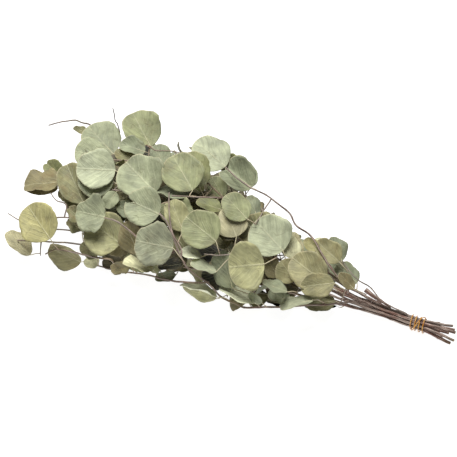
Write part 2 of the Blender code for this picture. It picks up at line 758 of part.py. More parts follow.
def grow_bare_twigs(bunch):
    """The bare twigs that the picture shows, joined to the nearest shoot."""
    for bare in BARE_TWIGS:
        points = []
        for count, (u, v) in enumerate(bare.pixels):
            depth = bare.depth * (1 - count / (len(bare.pixels) - 1)) * MM
            point = seen_at(u, v, surface_nearness(u, v) - depth)
            point.z = max(point.z, TWIG_RADIUS)
            points.append(point)
        for shoot, place in bunch.anchors(points[0], 0.0, BARE_TWIG_REACH, False)[:ROOTS_TRIED]:
            route = [place] + points
            if (route[1] - route[0]).length < SHORTEST_STEP:
                route = [place] + points[1:]
            if bunch.add_shoot(shoot.stem, route, twig_radii(len(route), bare.girth), "twig", shoot):
                break
        else:
            print("bare twig left out", bare.pixels[0])


def place_shown(bunch):
    """Every shown leaf, each on a stalk, moved a little nearer or further until it is clear."""
    held = []
    for shown in sorted(SHOWN, key=lambda item: item.layer):
        for count, shift in enumerate(SHIFTS):
            blade = shown_blade(shown, shift * MM, SHOWN_TILT + SHOWN_TILT_STEP * count, bunch.noise)
            loose = leaf_mesh(blade, CLEARANCE)
            if bunch.crowd.is_clear(loose):
                held.append((bunch.crowd.add(loose), blade, shown))
                break
        else:
            print("shown leaf left out", shown.base_u, shown.base_v)
    verts, faces = [], []
    for _, blade, _ in held:
        more_verts, more_faces = leaf_mesh(blade)
        faces += [tuple(corner + len(verts) for corner in face) for face in more_faces]
        verts += more_verts
    bunch.shown = BVHTree.FromPolygons(verts, faces)
    stem_points = [point for shoot in bunch.shoots for point in shoot.points]
    held.sort(key=lambda item: min((item[1].base - point).length for point in stem_points))
    for key, blade, shown in held:
        bunch.crowd.drop(key)
        if not stalk_root(blade, bunch) and not moved_root(shown, bunch):
            print("shown leaf with no stalk", shown.base_u, shown.base_v)


def grow_side_twigs(bunch):
    """Side twigs by rule: alternate, forwards and outwards, where they are clear."""
    noise = bunch.noise
    for shoot in [item for item in bunch.shoots if item.kind == "stem"]:
        for start in shoot.places[TWIG_FIRST::TWIG_EVERY]:
            for _ in range(TWIG_TRIES):
                angle = noise.uniform(0, 2 * math.pi)
                way = Vector((-1.1, math.cos(angle), 0.8 * math.sin(angle)))
                way = (way + outward(start) * 0.8).normalized()
                length = noise.uniform(*TWIG_LENGTHS)
                end = start + way * length
                if outside(end) > -0.15 or end.z < 6 * MM or not in_mass(end):
                    continue
                bow = Vector((0.0, 0.0, length * noise.uniform(-0.08, 0.08)))
                points = bowed(start, end, bow, 3)
                if bunch.hides_shown(points[1:]):
                    continue
                if bunch.add_shoot(shoot.stem, points, twig_radii(len(points)), "twig", shoot):
                    break


def grow_leaves(bunch, total):
    """The leaves that the shown ones hide, by rule, until there are as many as a total."""
    noise = bunch.noise
    tries = 0
    while len(bunch.leaves) < total and tries < LEAF_TRIES:
        tries += 1
        shoot = noise.choice(bunch.shoots)
        root = noise.choice(shoot.places)
        angle = noise.uniform(0, 2 * math.pi)
        way = Vector((-0.7, math.cos(angle), math.sin(angle)))
        way = (way + outward(root) * 0.5).normalized()
        base = root + way * noise.uniform(*STALK_LENGTHS)
        along = (way + Vector((-0.5, noise.uniform(-0.6, 0.6), noise.uniform(-0.6, 0.5)))).normalized()
        size = noise.uniform(*HIDDEN_LENGTHS)
        tip = base + along * size
        if base.z < 2 * MM or tip.z < -10 * MM or outside(tip) > 0.25 or outside(base) > 0.0:
            continue
        face = outward(base) + Vector([noise.gauss(0, 0.6) for _ in range(3)]) + Vector((0, 0, 0.5))
        side = face.cross(along)
        if side.length < 0.2:
            continue
        side.normalize()
        face = along.cross(side).normalized()
        if min(base.z, tip.z) < size * 0.5 * abs(side.z) and abs(face.z) < 0.6:
            continue
        width = size * noise.uniform(*HIDDEN_WIDTHS)
        middle = (base + tip) / 2
        ends = [base, middle, tip, middle + side * (width / 2), middle - side * (width / 2)]
        if not all(in_mass(end) for end in ends) or bunch.hides_shown(ends):
            continue
        leaf = Leaf(
            base, along, side, face, size, width, noise.uniform(*HIDDEN_FLARES),
            noise.uniform(*HIDDEN_FOLDS), noise.uniform(*HIDDEN_CURLS), root, HIDDEN_PLAN,
        )
        bunch.try_leaf(leaf, shoot)


# Blender objects

def mesh_object(name, mesh):
    """An object of a closed mesh, with its faces pointing out."""
    verts, faces = mesh
    data = bpy.data.meshes.new(name)
    data.from_pydata([tuple(vert) for vert in verts], [], faces)
    work = bmesh.new()
    work.from_mesh(data)
    bmesh.ops.recalc_face_normals(work, faces=work.faces)
    work.to_mesh(data)
    work.free()
    return bpy.data.objects.new(name, data)


def colour(hex_value):
    """A colour picked on screen, as the linear values that a shader takes."""
    channels = [int(hex_value[i:i + 2], 16) / 255 for i in (1, 3, 5)]
    linear = [c / 12.92 if c <= 0.04045 else ((c + 0.055) / 1.055) ** 2.4 for c in channels]
    return (*linear, 1.0)


def finish(name, hex_value, roughness):
    """A plain material for one piece."""
    material = bpy.data.materials.new(name)
    material.use_nodes = True
    shader = material.node_tree.nodes["Principled BSDF"]
    shader.inputs["Base Color"].default_value = colour(hex_value)
    shader.inputs["Roughness"].default_value = roughness
    shader.inputs["Metallic"].default_value = 0.0
    return material


def joined(name, first, rest):
    """One body of a first mesh and all the meshes that grow from it."""
    body = mesh_object(name, first)
    bpy.context.scene.collection.objects.link(body)
    gathered = bpy.data.collections.new(name + "_growth")
    for count, mesh in enumerate(rest):
        gathered.objects.link(mesh_object(f"{name}_growth_{count}", mesh))
    union = body.modifiers.new("Joined", "BOOLEAN")
    union.operation = "UNION"
    union.operand_type = "COLLECTION"
    union.collection = gathered
    union.solver = "MANIFOLD"
    evaluated = body.evaluated_get(bpy.context.evaluated_depsgraph_get())
    solid = bpy.data.meshes.new_from_object(evaluated)
    body.modifiers.remove(union)
    body.data = solid
    for item in list(gathered.objects):
        bpy.data.objects.remove(item, do_unlink=True)
    bpy.data.collections.remove(gathered)
    drop_scraps(body)
    return body


def drop_scraps(body):
    """Keep a body's largest connected part."""
    work = bmesh.new()
    work.from_mesh(body.data)
    bmesh.ops.triangulate(work, faces=work.faces)
    left = set(work.verts)
    groups = []
    while left:
        stack = [left.pop()]
        group = set(stack)
        while stack:
            for edge in stack.pop().link_edges:
                for vert in edge.verts:
                    if vert in left:
                        left.discard(vert)
                        group.add(vert)
                        stack.append(vert)
        groups.append(group)
    groups.sort(key=len)
    if len(groups) > 1:
        print("loose scraps", body.name, [len(group) for group in groups[:-1]])
    for group in groups[:-1]:
        bmesh.ops.delete(work, geom=list(group), context="VERTS")
    work.to_mesh(body.data)
    work.free()


# Plain colours, one for each stem, and the elastic's
LEAF_COLOURS = (
    "#a9ad8a", "#9aa07a", "#b9bd9a", "#9da390", "#b3ad6e", "#8f8460", "#6f7a60", "#8c9272", "#a3a17c",
)
ELASTIC_COLOUR = "#cf8f3a"


def build_stems(bunch):
    """One body for each stem, with all that grows on it."""
    for number, stem in enumerate(STEMS):
        name = f"leafy_stem_{number + 1}"
        shoots = [shoot for shoot in bunch.shoots if shoot.stem == number]
        meshes = []
        for shoot in shoots:
            sides = STEM_SIDES if shoot.kind == "stem" else TWIG_SIDES
            meshes.append(tube(shoot.points, shoot.radii, sides))
        meshes += [leaf_mesh(leaf) for owner, leaf in bunch.leaves if owner == number]
        body = joined(name, meshes[0], meshes[1:])
        body.data.materials.clear()
        body.data.materials.append(finish(name, LEAF_COLOURS[number], 0.7))


# The elastic tie

def strand_ring(angle, radius, along):
    """Four corners of the elastic round its middle, with a flat outer side, kept on the table."""
    out = Vector((0.0, math.cos(angle), math.sin(angle)))
    middle = TIE_MIDDLE + out * radius + Vector((along, 0.0, 0.0))
    corners = []
    for count in range(4):
        turn = math.radians(45 + 90 * count)
        corner = middle + out * (STRAND_WIDTH * math.cos(turn) / math.sqrt(2))
        corner += Vector((STRAND_WIDTH * math.sin(turn) / math.sqrt(2), 0.0, 0.0))
        corner.z = max(corner.z, 0.0)
        corners.append(corner)
    return corners


def strand(rings):
    """A closed run of elastic through rings of four corners."""
    verts = [corner for ring in rings for corner in ring]
    faces = [tuple(range(4))]
    for ring in range(len(rings) - 1):
        for corner in range(4):
            low = ring * 4 + corner
            next_low = ring * 4 + (corner + 1) % 4
            faces.append((low, low + 4, next_low + 4, next_low))
    last = (len(rings) - 1) * 4
    faces.append(tuple(reversed(range(last, last + 4))))
    return verts, faces


def build_tie():
    """The elastic: four turns round the bundle, and one that crosses back over them."""
    step = 2 * math.pi / TIE_STEPS
    shift = -(2 * ((TIE_TURNS // 2 - 1) + TIE_UNDER) / TIE_TURNS - 1) * TIE_HALF_WIDTH
    wound = []
    for count in range(TIE_STEPS * TIE_TURNS + 1):
        share = count / (TIE_STEPS * TIE_TURNS)
        along = (2 * share - 1) * TIE_HALF_WIDTH + shift
        wound.append(strand_ring(TIE_START + step * count, RING_RADIUS, along))
    crossing = []
    for count in range(-1, TIE_STEPS + 2):
        share = count / TIE_STEPS
        lift = CROSSING_LIFT + CROSSING_RISE * max(0.0, math.sin(math.pi * share)) ** CROSSING_ROUND
        along = (1 - 2 * share) * TIE_HALF_WIDTH + shift
        crossing.append(strand_ring(TIE_START + step * count, RING_RADIUS + lift, along))
    body = joined("elastic_tie", strand(wound), [strand(crossing)])
    body.data.materials.clear()
    body.data.materials.append(finish("elastic_tie", ELASTIC_COLOUR, 0.55))


def main():
    clean_start()
    bunch = Bunch()
    grow_stems(bunch)
    grow_bare_twigs(bunch)
    place_shown(bunch)
    grow_side_twigs(bunch)
    grow_leaves(bunch, LEAF_TOTAL)
    print("leaves", len(bunch.leaves), "shoots", len(bunch.shoots))
    build_stems(bunch)
    build_tie()


main()
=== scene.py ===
"""The looks of a tied bunch of dried silver-dollar eucalyptus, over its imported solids.

Frame: metres, +Z up. The origin is on the table right under the elastic tie. The cut
ends point to +X and the leafy tips to -X, and the near side of the bunch is -Y.

The bunch grows here by the same tables, rule and seed as its solids, so every stem, twig
and leaf lies where its solid does. Then each gets its fine form: bent and waved blades
with veins, leaf stalks that run on as midribs, bark with swollen joints, cut wood and
the wound elastic. Some more hidden leaves fill the bunch. The view, a white table and
soft studio light come last.
"""

import math
import random
from collections import namedtuple

import bmesh
import bpy
from mathutils import Matrix, Vector
from mathutils.bvhtree import BVHTree

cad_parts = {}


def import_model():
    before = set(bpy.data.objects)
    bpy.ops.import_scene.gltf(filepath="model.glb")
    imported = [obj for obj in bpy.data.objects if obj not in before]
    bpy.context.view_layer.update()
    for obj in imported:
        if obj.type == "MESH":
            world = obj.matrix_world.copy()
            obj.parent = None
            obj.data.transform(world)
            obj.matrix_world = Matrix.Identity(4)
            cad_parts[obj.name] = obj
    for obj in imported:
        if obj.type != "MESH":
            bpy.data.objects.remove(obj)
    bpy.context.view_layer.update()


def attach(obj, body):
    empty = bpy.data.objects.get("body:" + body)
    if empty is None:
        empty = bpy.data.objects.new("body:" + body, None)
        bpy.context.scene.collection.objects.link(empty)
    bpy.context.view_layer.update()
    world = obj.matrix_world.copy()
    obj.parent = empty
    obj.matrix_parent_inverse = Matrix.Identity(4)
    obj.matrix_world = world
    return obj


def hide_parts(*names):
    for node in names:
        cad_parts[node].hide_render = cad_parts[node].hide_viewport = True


MM = 0.001

# The fine blades: their thickness, the rows and columns of faces in one, how they narrow
# at the base and the tip, how far the tip is drawn out, how much thinner the edge is and
# how close to it that starts, how much larger than its solid a blade is, and its crinkles
LEAF_THICKNESS = 0.5 * MM
BLADE_ROWS = 18
BLADE_COLUMNS = 14
BASE_TAPER = 1.15
TIP_ROUNDNESS = 0.86
TIP_POINT = 0.025
EDGE_THINNING = 0.6
EDGE_NEARNESS = 6
LEAF_FULLNESS = 1.05
CRINKLE = 4 * MM

# Hidden leaves that only the looks have: the most that there may be of all leaves, which
# the tries don't reach, and how deep under the outer form such a leaf lies
FULL_TOTAL = 300
EXTRA_DEPTH = 22 * MM

# The bunch's middle, whose leaves are tinted darker as painted shade: how deep under the
# outer form it ends, and how near the viewer the outer form is there
CORE_DEPTH = 70 * MM
CORE_SURFACE = 30 * MM

# Stems and twigs: their thickness against their solids' at the root and at the tip, from
# what length a twig counts as long, and the least half width of all
STEM_FINENESS = 0.75
STEM_TIP_FINENESS = 0.7
TWIG_FINENESS = 0.78
TWIG_TIP_FINENESS = 0.62
LONG_TWIG = 75 * MM
LONG_TWIG_FINENESS = 1.0
LONG_TWIG_TIP_FINENESS = 0.85
FINEST_GIRTH = 0.6 * MM

# The thick stub near the tie, told by its solid's half width: its own half width at the
# root, along it and at the knob that it ends in
STUB_RADIUS = 2.0 * MM
STUB_ROOT_GIRTH = 1.0 * MM
STUB_GIRTH = 2.3 * MM
STUB_KNOB_GIRTH = 3.2 * MM

# The bare twig that starts beside the tie, told by where it starts, and its half width
TIE_TWIG_PLACE = -30 * MM
TIE_TWIG_GIRTH = 1.15 * MM

# Leaf stalks and their midribs: half widths, a stalk's share of its own and its tone at the
# root, the middle and the blade, how far it bows against its length, how far along the
# blade the midrib is raised, and in how many steps
STALK_GIRTH = 0.75 * MM
STALK_SHARES = (1.0, 0.85, 0.8)
STALK_TONES = (1.0, 0.45, 0.1)
STALK_BOW = 0.1
MIDRIB_GIRTH = 0.38 * MM
MIDRIB_END_GIRTH = 0.15 * MM
MIDRIB_REACH = 0.6
MIDRIB_STEPS = 5

# The tie draws the stems closer than their solids, which keep a clearance. Closest of all
# is the neck before the leaves, and the cut ends fan out
TIE_HOLD = 0.15
TIE_HOLD_REACH = 60 * MM
NECK_HOLD = 0.26
NECK_PLACE = -62 * MM
NECK_REACH = 42 * MM
CUT_FAN = 0.27
CUT_FAN_LENGTH = 45 * MM
CUT_RISE = 3 * MM

# The bare wood of a cut end: how far it starts inside the bark, how far it stands out of
# it, and its thickness against the bark's
CUT_WOOD_START = 2 * MM
CUT_WOOD_END = 0.35 * MM
CUT_WOOD_SHARE = 0.8

# How many steps a turn of the wound elastic has
TURN_STEPS = 24

# The buds: the pixel that the picture shows them at, how near it their leaf's foot is, how
# many they are, how far they stand off to the viewer, to the side and up, their lengths,
# and their half widths and tones from the foot to the tip
BUDS_U = 151
BUDS_V = 147
BUDS_NEARNESS = 4
BUD_COUNT = 11
BUDS_NEARER = 11 * MM
BUDS_ASIDE = (-13 * MM, 9 * MM)
BUDS_UP = (-4 * MM, 3 * MM)
BUD_LENGTHS = (2.5 * MM, 4.5 * MM)
BUD_GIRTHS = (0.5 * MM, 1.2 * MM, 2.4 * MM, 1.6 * MM)
BUD_TONES = (0.2, 0.0, 0.0, 0.0)

# The seed of what is drawn for the looks alone, and the picture's width in pixels
LOOKS_SEED = 7
PICTURE_SIZE = 457

# How the growth was set out: the same values as the solids have

# Leaves: the blade's thickness, how far the tip stands out against the length, the stalk's
# width at the blade and at its root, how well the two have to be in line (a cosine), and
# the least height of a blade's middle
BLADE_THICKNESS = 0.8 * MM
BLADE_TIP = 1.02
STALK_WIDTH = 1.5 * MM
STALK_ROOT = 1.1 * MM
STALK_ALIGNED = 0.35
LOWEST_BLADE = 0.5 * BLADE_THICKNESS

# Stems and twigs: half widths and sides, how fast a stem thins, how far apart roots are and
# where between two, how far from the tie a stem stays bare, and the gap that all keep
STEM_RADIUS = 2.7 * MM
STEM_TIP_RADIUS = 1.4 * MM
STEM_TAPER = 0.8
STEM_SIDES = 6
TWIG_RADIUS = 1.45 * MM
TWIG_TIP_RADIUS = 1.15 * MM
TWIG_SIDES = 4
ROOT_SPACING = 10 * MM
ROOT_SHARE = 0.75
LEAFLESS = 60 * MM
CLEARANCE = 0.3 * MM

# The tie: how far from its middle the outer stems run, the elastic's width, its turns, the
# flats of one turn in the solid, half the width that the turns take up, where a turn
# starts, and the share of a turn from there to the underside
SLOT_RADIUS = 7.6 * MM
STRAND_WIDTH = 1.3 * MM
TIE_TURNS = 4
TIE_STEPS = 12
TIE_HALF_WIDTH = 11.0 * MM
TIE_START = math.radians(-45)
TIE_UNDER = 315 / 360

# The rule that fills the bunch: how many leaves it stops at, how often it tries, its seed
LEAF_TOTAL = 190
LEAF_TRIES = 20000
SEED = 41

# The stems' middle lines, in mm from the tie: where they are set out, how near the tip
# the last of these may be, and from where and how far they sway
STEM_PLACES = (-14, 14, 45, 90, 135, 180, 225, 270, 320, 370, 420, 470, 520)
TIP_GAP = 20
SWAY_FROM = 60
SWAY = 2.2 * MM

# How much further apart the cut ends stand and how far they sink, per mm past the held
# length, and how much the tips sink, and from where
CUT_SPREAD = 0.012
CUT_DROOP = 0.12
CUT_DROOP_LENGTH = 38
CUT_DROOP_HEIGHT = 3 * MM
TIP_DROOP = 0.18
TIP_DROOP_FROM = 400
TIP_DROOP_HEIGHT = 90 * MM

# How far along, in mm, the stems start to follow the outer form's middle, and how closely
BEND_FROM = 380
BEND_SHARE = 0.8

# How far from a blade a shoot may carry its stalk, how far a new twig for it may reach,
# how many places are tried for each, and the length of a twig's steps
STALK_REACH = (9 * MM, 32 * MM)
NEW_TWIG_REACH = (12 * MM, 120 * MM)
ROOTS_TRIED = 30
TWIG_STEP = 22 * MM

# A twig to a stalk: how much it turns to the cut ends, its end's least height, and how far
# it bows against its length
TWIG_BACKWARDS = Vector((0.3, 0, 0))
TWIG_LOWEST = 3 * MM
TWIG_BOWS = (-0.06, 0.08)

# How far ahead of its load a shoot may be, against their distance, and how far behind a
# point a shown leaf still counts as hidden by it
AHEAD = 0.35
HIDING_REACH = 0.3

# How far a bare twig's root may lie from its first point, and the shortest first step
BARE_TWIG_REACH = 90 * MM
SHORTEST_STEP = 4 * MM

# How far the elastic's crossing strand stands off the turns: at its ends and at its middle
CROSSING_LIFT = 0.15 * MM
CROSSING_RISE = 0.95 * MM
CROSSING_ROUND = 0.6

# Side twigs: the first one's place on a stem, how many places apart they stand, how often
# each is tried, their lengths, bows against these and steps, and where an end may be
TWIG_FIRST = 8
TWIG_EVERY = 5
TWIG_TRIES = 5
TWIG_LENGTHS = (34 * MM, 62 * MM)
SIDE_TWIG_BOWS = (-0.08, 0.08)
SIDE_TWIG_STEPS = 3
SIDE_TWIG_LOWEST = 6 * MM
SIDE_TWIG_OUTSIDE = -0.15

# Hidden leaves: stalk lengths, blade lengths, widths against the length, flare, fold, curl
# and how much they tip, how low the base and the tip may be and how far outside the tip,
# how far the facing has to be from the length (a sine), and how upright one may stand
STALK_LENGTHS = (12 * MM, 22 * MM)
HIDDEN_LENGTHS = (30 * MM, 50 * MM)
HIDDEN_WIDTHS = (0.85, 1.08)
HIDDEN_FLARES = (0.05, 0.2)
HIDDEN_FOLDS = (0.03, 0.25)
HIDDEN_CURLS = (-0.04, 0.14)
HIDDEN_TILT = 0.6
HIDDEN_BASE_LOWEST = 2 * MM
HIDDEN_TIP_LOWEST = -10 * MM
HIDDEN_TIP_OUTSIDE = 0.25
HIDDEN_LEAST_SIDE = 0.2
HIDDEN_UPRIGHT = 0.6

# Shown leaves: how far each may be moved towards the viewer, in mm, and fold and curl
SHIFTS = (0, -4, 4, -8, 8, -12, 12, -17, 17, -23, 23, -30)
SHOWN_FOLDS = (0.03, 0.16)
SHOWN_CURLS = (-0.04, 0.12)

# How much a shown leaf tips from the viewer, and how much more at each move
SHOWN_TILT = 0.03
SHOWN_TILT_STEP = 0.012

# The length that the tie holds on each side, the widest part of the fan of stems, how
# late it opens, and how much wider it gets past that, per metre
HELD_LENGTH = 14 * MM
FAN_AT = 320 * MM
FAN_POWER = 1.7
FAN_HEIGHT = 66 * MM
FAN_GROWTH = 0.9

# The view that the shown leaves are read from: its direction, its distance from the
# tie, what one pixel of the picture covers there, and where the tie is in the picture
SIGHT_AZIMUTH = math.radians(25.5)
SIGHT_ELEVATION = math.radians(45.0)
SIGHT_DISTANCE = 1.65
PIXEL = 1.30 * MM
PICTURE_MIDDLE = 228.5
TIE_U = 417.5
TIE_V = 323.5
LAYER_DEPTH = 13 * MM

# The search along a line of sight for the outer form: how near the viewer it starts, its
# steps, in mm, and their number
SEARCH_FROM = 160
SEARCH_STEP = 4
SEARCH_STEPS = 130

# How fast the outer form counts as left past its end
PAST_END = 20 * MM

# The tie's ring and the height of the bundle's middle over the table. The ring is a
# polygon, and a flat of its outer side lies on the table.
RING_RADIUS = (SLOT_RADIUS + STEM_RADIUS + CLEARANCE + STRAND_WIDTH / 2) / math.cos(math.pi / TIE_STEPS)
TIE_HEIGHT = RING_RADIUS * math.cos(math.pi / TIE_STEPS) + STRAND_WIDTH / 2 - 0.1 * MM
TIE_MIDDLE = Vector((0.0, 0.0, TIE_HEIGHT))

# The bunch's outer form, in mm: distance from the tie towards the tips, how far its
# middle lies to the back, its half width and its height over the table
Station = namedtuple("Station", "along middle half_width height")
OUTER_FORM = (
    Station(40, 0, 14, 26),
    Station(100, 0, 34, 52),
    Station(160, 0, 66, 88),
    Station(220, 0, 92, 115),
    Station(300, 0, 114, 136),
    Station(380, 0, 118, 140),
    Station(450, -8, 108, 128),
    Station(520, -25, 84, 100),
    Station(570, -40, 60, 74),
    Station(610, -50, 30, 44),
)

# The stems, in mm and degrees: place in the tie (None is the middle; 0 is the back, 90
# the top), thickness against the thickest, where the stem passes the widest part of the
# fan (to the back, over the table), how far its tip reaches and where it is cut
Stem = namedtuple("Stem", "slot girth side height reach cut")
STEMS = (
    Stem(22.5, 0.90, 64, 90, 490, 27),
    Stem(67.5, 0.84, 30, 108, 505, 45),
    Stem(112.5, 0.96, -22, 104, 515, 51),
    Stem(157.5, 0.86, -60, 84, 520, 53),
    Stem(202.5, 1.00, -70, 44, 540, 49),
    Stem(247.5, 0.94, -30, 24, 520, 36),
    Stem(292.5, 0.84, 24, 22, 450, 30),
    Stem(337.5, 0.92, 66, 42, 430, 47),
    Stem(None, 0.88, 0, 66, 500, 42),
)

# Leaves read from the picture: pixels of the base and the tip, width against length,
# how much wider the base half is, degrees rolled away from the viewer, how many leaves
# deep it lies, its tint and how it dried
Shown = namedtuple("Shown", "base_u base_v tip_u tip_v width flare roll layer tint habit")
SHOWN = (
    Shown(113.5, 154, 89, 127, 1.10, .12, 0, 1, "sage", "flat"),
    Shown(115.5, 170.5, 78, 168.5, 1.04, .10, 0, 0, "pale", "flat"),
    Shown(113.8, 182, 79.5, 178, 1.08, .10, 0, 1.6, "sage", "flat"),
    Shown(105.3, 217.3, 76, 211, 1.20, .35, 0, 0, "sage", "angular"),
    Shown(120.6, 243.8, 89.4, 221.5, 1.18, .20, 0, 1.5, "lime", "cupped"),
    Shown(84, 203, 66, 165, 0.80, .10, 0, 2, "moss", "cupped"),
    Shown(84, 201, 60, 188, 0.85, .10, 0, 3, "moss", "angular"),
    Shown(116, 192, 106, 207, 0.85, .10, 0, 2, "sage", "flat"),
    Shown(151, 147, 133, 114, 1.05, .05, 0, 1, "fern", "cupped"),
    Shown(145, 152, 121, 143, 0.80, .10, 30, 2, "dusk", "curled"),
    Shown(136, 164, 116, 151, 0.60, .10, 0, 3, "moss", "cupped"),
    Shown(155.5, 193, 126, 162, 1.10, .12, 0, 1, "sage", "angular"),
    Shown(159.4, 214.2, 127.5, 199.5, 1.10, .15, 0, 0, "sage", "notched"),
    Shown(173.3, 248.2, 136, 241, 1.12, .12, 0, 0, "mist", "angular"),
    Shown(192.5, 190.5, 173, 155.5, 1.00, .12, 0, 0, "fern", "flat"),
    Shown(200, 188, 190, 153, 0.85, .10, 0, 1, "olive", "flat"),
    Shown(225.5, 167, 197, 141.5, 0.95, .12, 0, 1, "pale", "flat"),
    Shown(252, 188, 223, 165, 0.95, .10, 0, 1, "dusk", "bent"),
    Shown(251, 187.5, 248, 167, 0.80, .10, 0, 2, "dusk", "flat"),
    Shown(216, 241.3, 187, 218, 1.05, .12, 0, 0, "fern", "flat"),
    Shown(236.3, 236.7, 226, 208, 1.00, .35, 0, 1, "straw", "flat"),
    Shown(247, 219, 226, 196, 0.85, .10, 0, 0, "fern", "flat"),
    Shown(223, 197, 212, 178, 0.90, .10, 0, 2, "fern", "flat"),
    Shown(257, 217, 250, 195, 0.60, .10, 0, 2, "dusk", "angular"),
    Shown(283, 251, 257, 222.5, 1.16, .10, 0, 1, "pale", "flat"),
    Shown(264.3, 264, 230, 267.5, 1.42, .10, 0, 0, "lime", "flat"),
    Shown(233, 288, 220, 252.5, 0.72, .10, 0, 2, "dusk", "flat"),
    Shown(323.5, 283, 293.5, 258.5, 0.95, .10, 0, 0, "khaki", "flat"),
    Shown(334, 283, 302, 287, 0.75, .10, 0, -1, "khaki", "flat"),
    Shown(296, 258, 285, 236, 0.80, .10, 0, 1, "wheat", "flat"),
    Shown(295, 281, 281, 262, 1.10, .10, 0, 1, "khaki", "flat"),
    Shown(300, 257, 293, 233, 0.50, .10, 0, 1, "straw", "flat"),
    Shown(318, 250, 305, 240, 0.80, .10, 0, 1, "gold", "flat"),
    Shown(339, 262, 318, 242, 0.80, .10, 0, 0, "khaki", "curled"),
    # A pale leaf in the shade of others, made lighter as painted light
    Shown(331, 249, 315, 240, 0.60, .10, 0, 1, "bleached", "flat"),
    Shown(342, 261, 333, 238, 0.80, .10, 30, 2, "dusk", "curled"),
    Shown(357, 283, 338, 265, 0.80, .10, 0, 1, "dusk", "angular"),
    Shown(354, 289, 340, 274, 0.60, .10, 0, 0, "tan", "curled"),
    Shown(335, 301, 307, 304, 0.75, .10, 30, 2, "moss", "cupped"),
    Shown(313, 300, 281, 305, 0.75, .10, 66, -1, "mist", "flat"),
    # Two pale undersides turned away from the lamp, made lighter as painted light
    Shown(217, 297, 183, 282, 1.00, .10, 66, 0, "bleached", "flat"),
    Shown(254, 303, 220, 289, 0.90, .10, 66, 1, "bleached", "flat"),
    Shown(216, 272, 192, 262, 0.80, .10, 60, 0, "pale", "flat"),
    Shown(262, 303, 249, 294, 0.60, .10, 0, 1, "pale", "flat"),
    Shown(287, 292, 263, 283, 0.90, .10, 66, 0, "dusk", "flat"),
    Shown(290, 301, 269, 293, 0.80, .10, 40, 2, "dusk", "flat"),
    Shown(97, 257, 81, 245, 0.70, .10, 0, 1, "moss", "cupped"),
    Shown(99, 258, 85, 265, 0.80, .10, 0, 1, "wheat", "flat"),
    Shown(122, 262, 103, 264, 0.90, .10, 30, 1, "umber", "flat"),
    Shown(130, 266, 111, 269, 0.70, .10, 0, 0, "tan", "wrinkled"),
    Shown(153, 270, 124, 261, 0.90, .10, 66, 0, "wheat", "angular"),
    # A leaf deep in shadow, tinted near black as painted shade
    Shown(183, 264, 159, 267, 0.90, .10, 60, 1, "shade", "flat"),
    Shown(176, 275, 156, 279, 0.70, .10, 40, 2, "dusk", "flat"),
    Shown(183, 231, 171, 201, 0.75, .10, 0, 1, "lime", "cupped"),
    Shown(188, 222, 176, 198, 0.80, .10, 0, 2, "fern", "angular"),
    Shown(221, 210, 198, 200, 0.70, .10, 40, 2, "olive", "flat"),
    Shown(163.5, 167, 156.5, 145, 0.95, .10, 0, 2, "dusk", "flat"),
    Shown(180, 167, 168, 161, 0.80, .10, 0, 2, "mist", "flat"),
    Shown(83, 221, 68, 208, 0.70, .10, 0, 2, "moss", "wrinkled"),
    Shown(82, 230, 67, 221, 0.70, .10, 0, 3, "moss", "wrinkled"),
    Shown(138, 254, 126, 223, 0.75, .10, 0, 2, "tan", "cupped"),
    # A pale underside turned away from the lamp, made lighter as painted light
    Shown(201, 257, 181, 250, 0.80, .10, 50, 1, "bleached", "flat"),
    Shown(104, 155, 76, 152, 1.12, .10, 0, 2, "sage", "flat"),
    Shown(50.5, 239, 27.5, 207, 1.00, .10, 0, 0, "gold", "flat"),
    Shown(81, 262, 50, 248, 0.80, .10, 0, 0, "khaki", "cupped"),
    Shown(30, 255, 8, 233, 1.00, .10, 63, 0, "straw", "flat"),
    Shown(60, 182, 24.5, 184, 0.95, .10, 45, 0, "tan", "wrinkled"),
    Shown(63, 178, 46, 163, 0.80, .10, 0, 1, "olive", "folded"),
    Shown(87, 133, 74, 128, 0.60, .10, 30, 2, "moss", "curled"),
    Shown(178, 223, 163, 204, 0.80, .10, 0, 2, "fern", "flat"),
    Shown(186, 250, 172, 232, 0.80, .10, 0, 2, "moss", "flat"),
    Shown(133, 215, 119, 203, 0.90, .10, 0, 3, "dusk", "flat"),
    Shown(279, 277, 266, 259, 0.80, .10, 0, 2, "tan", "flat"),
)

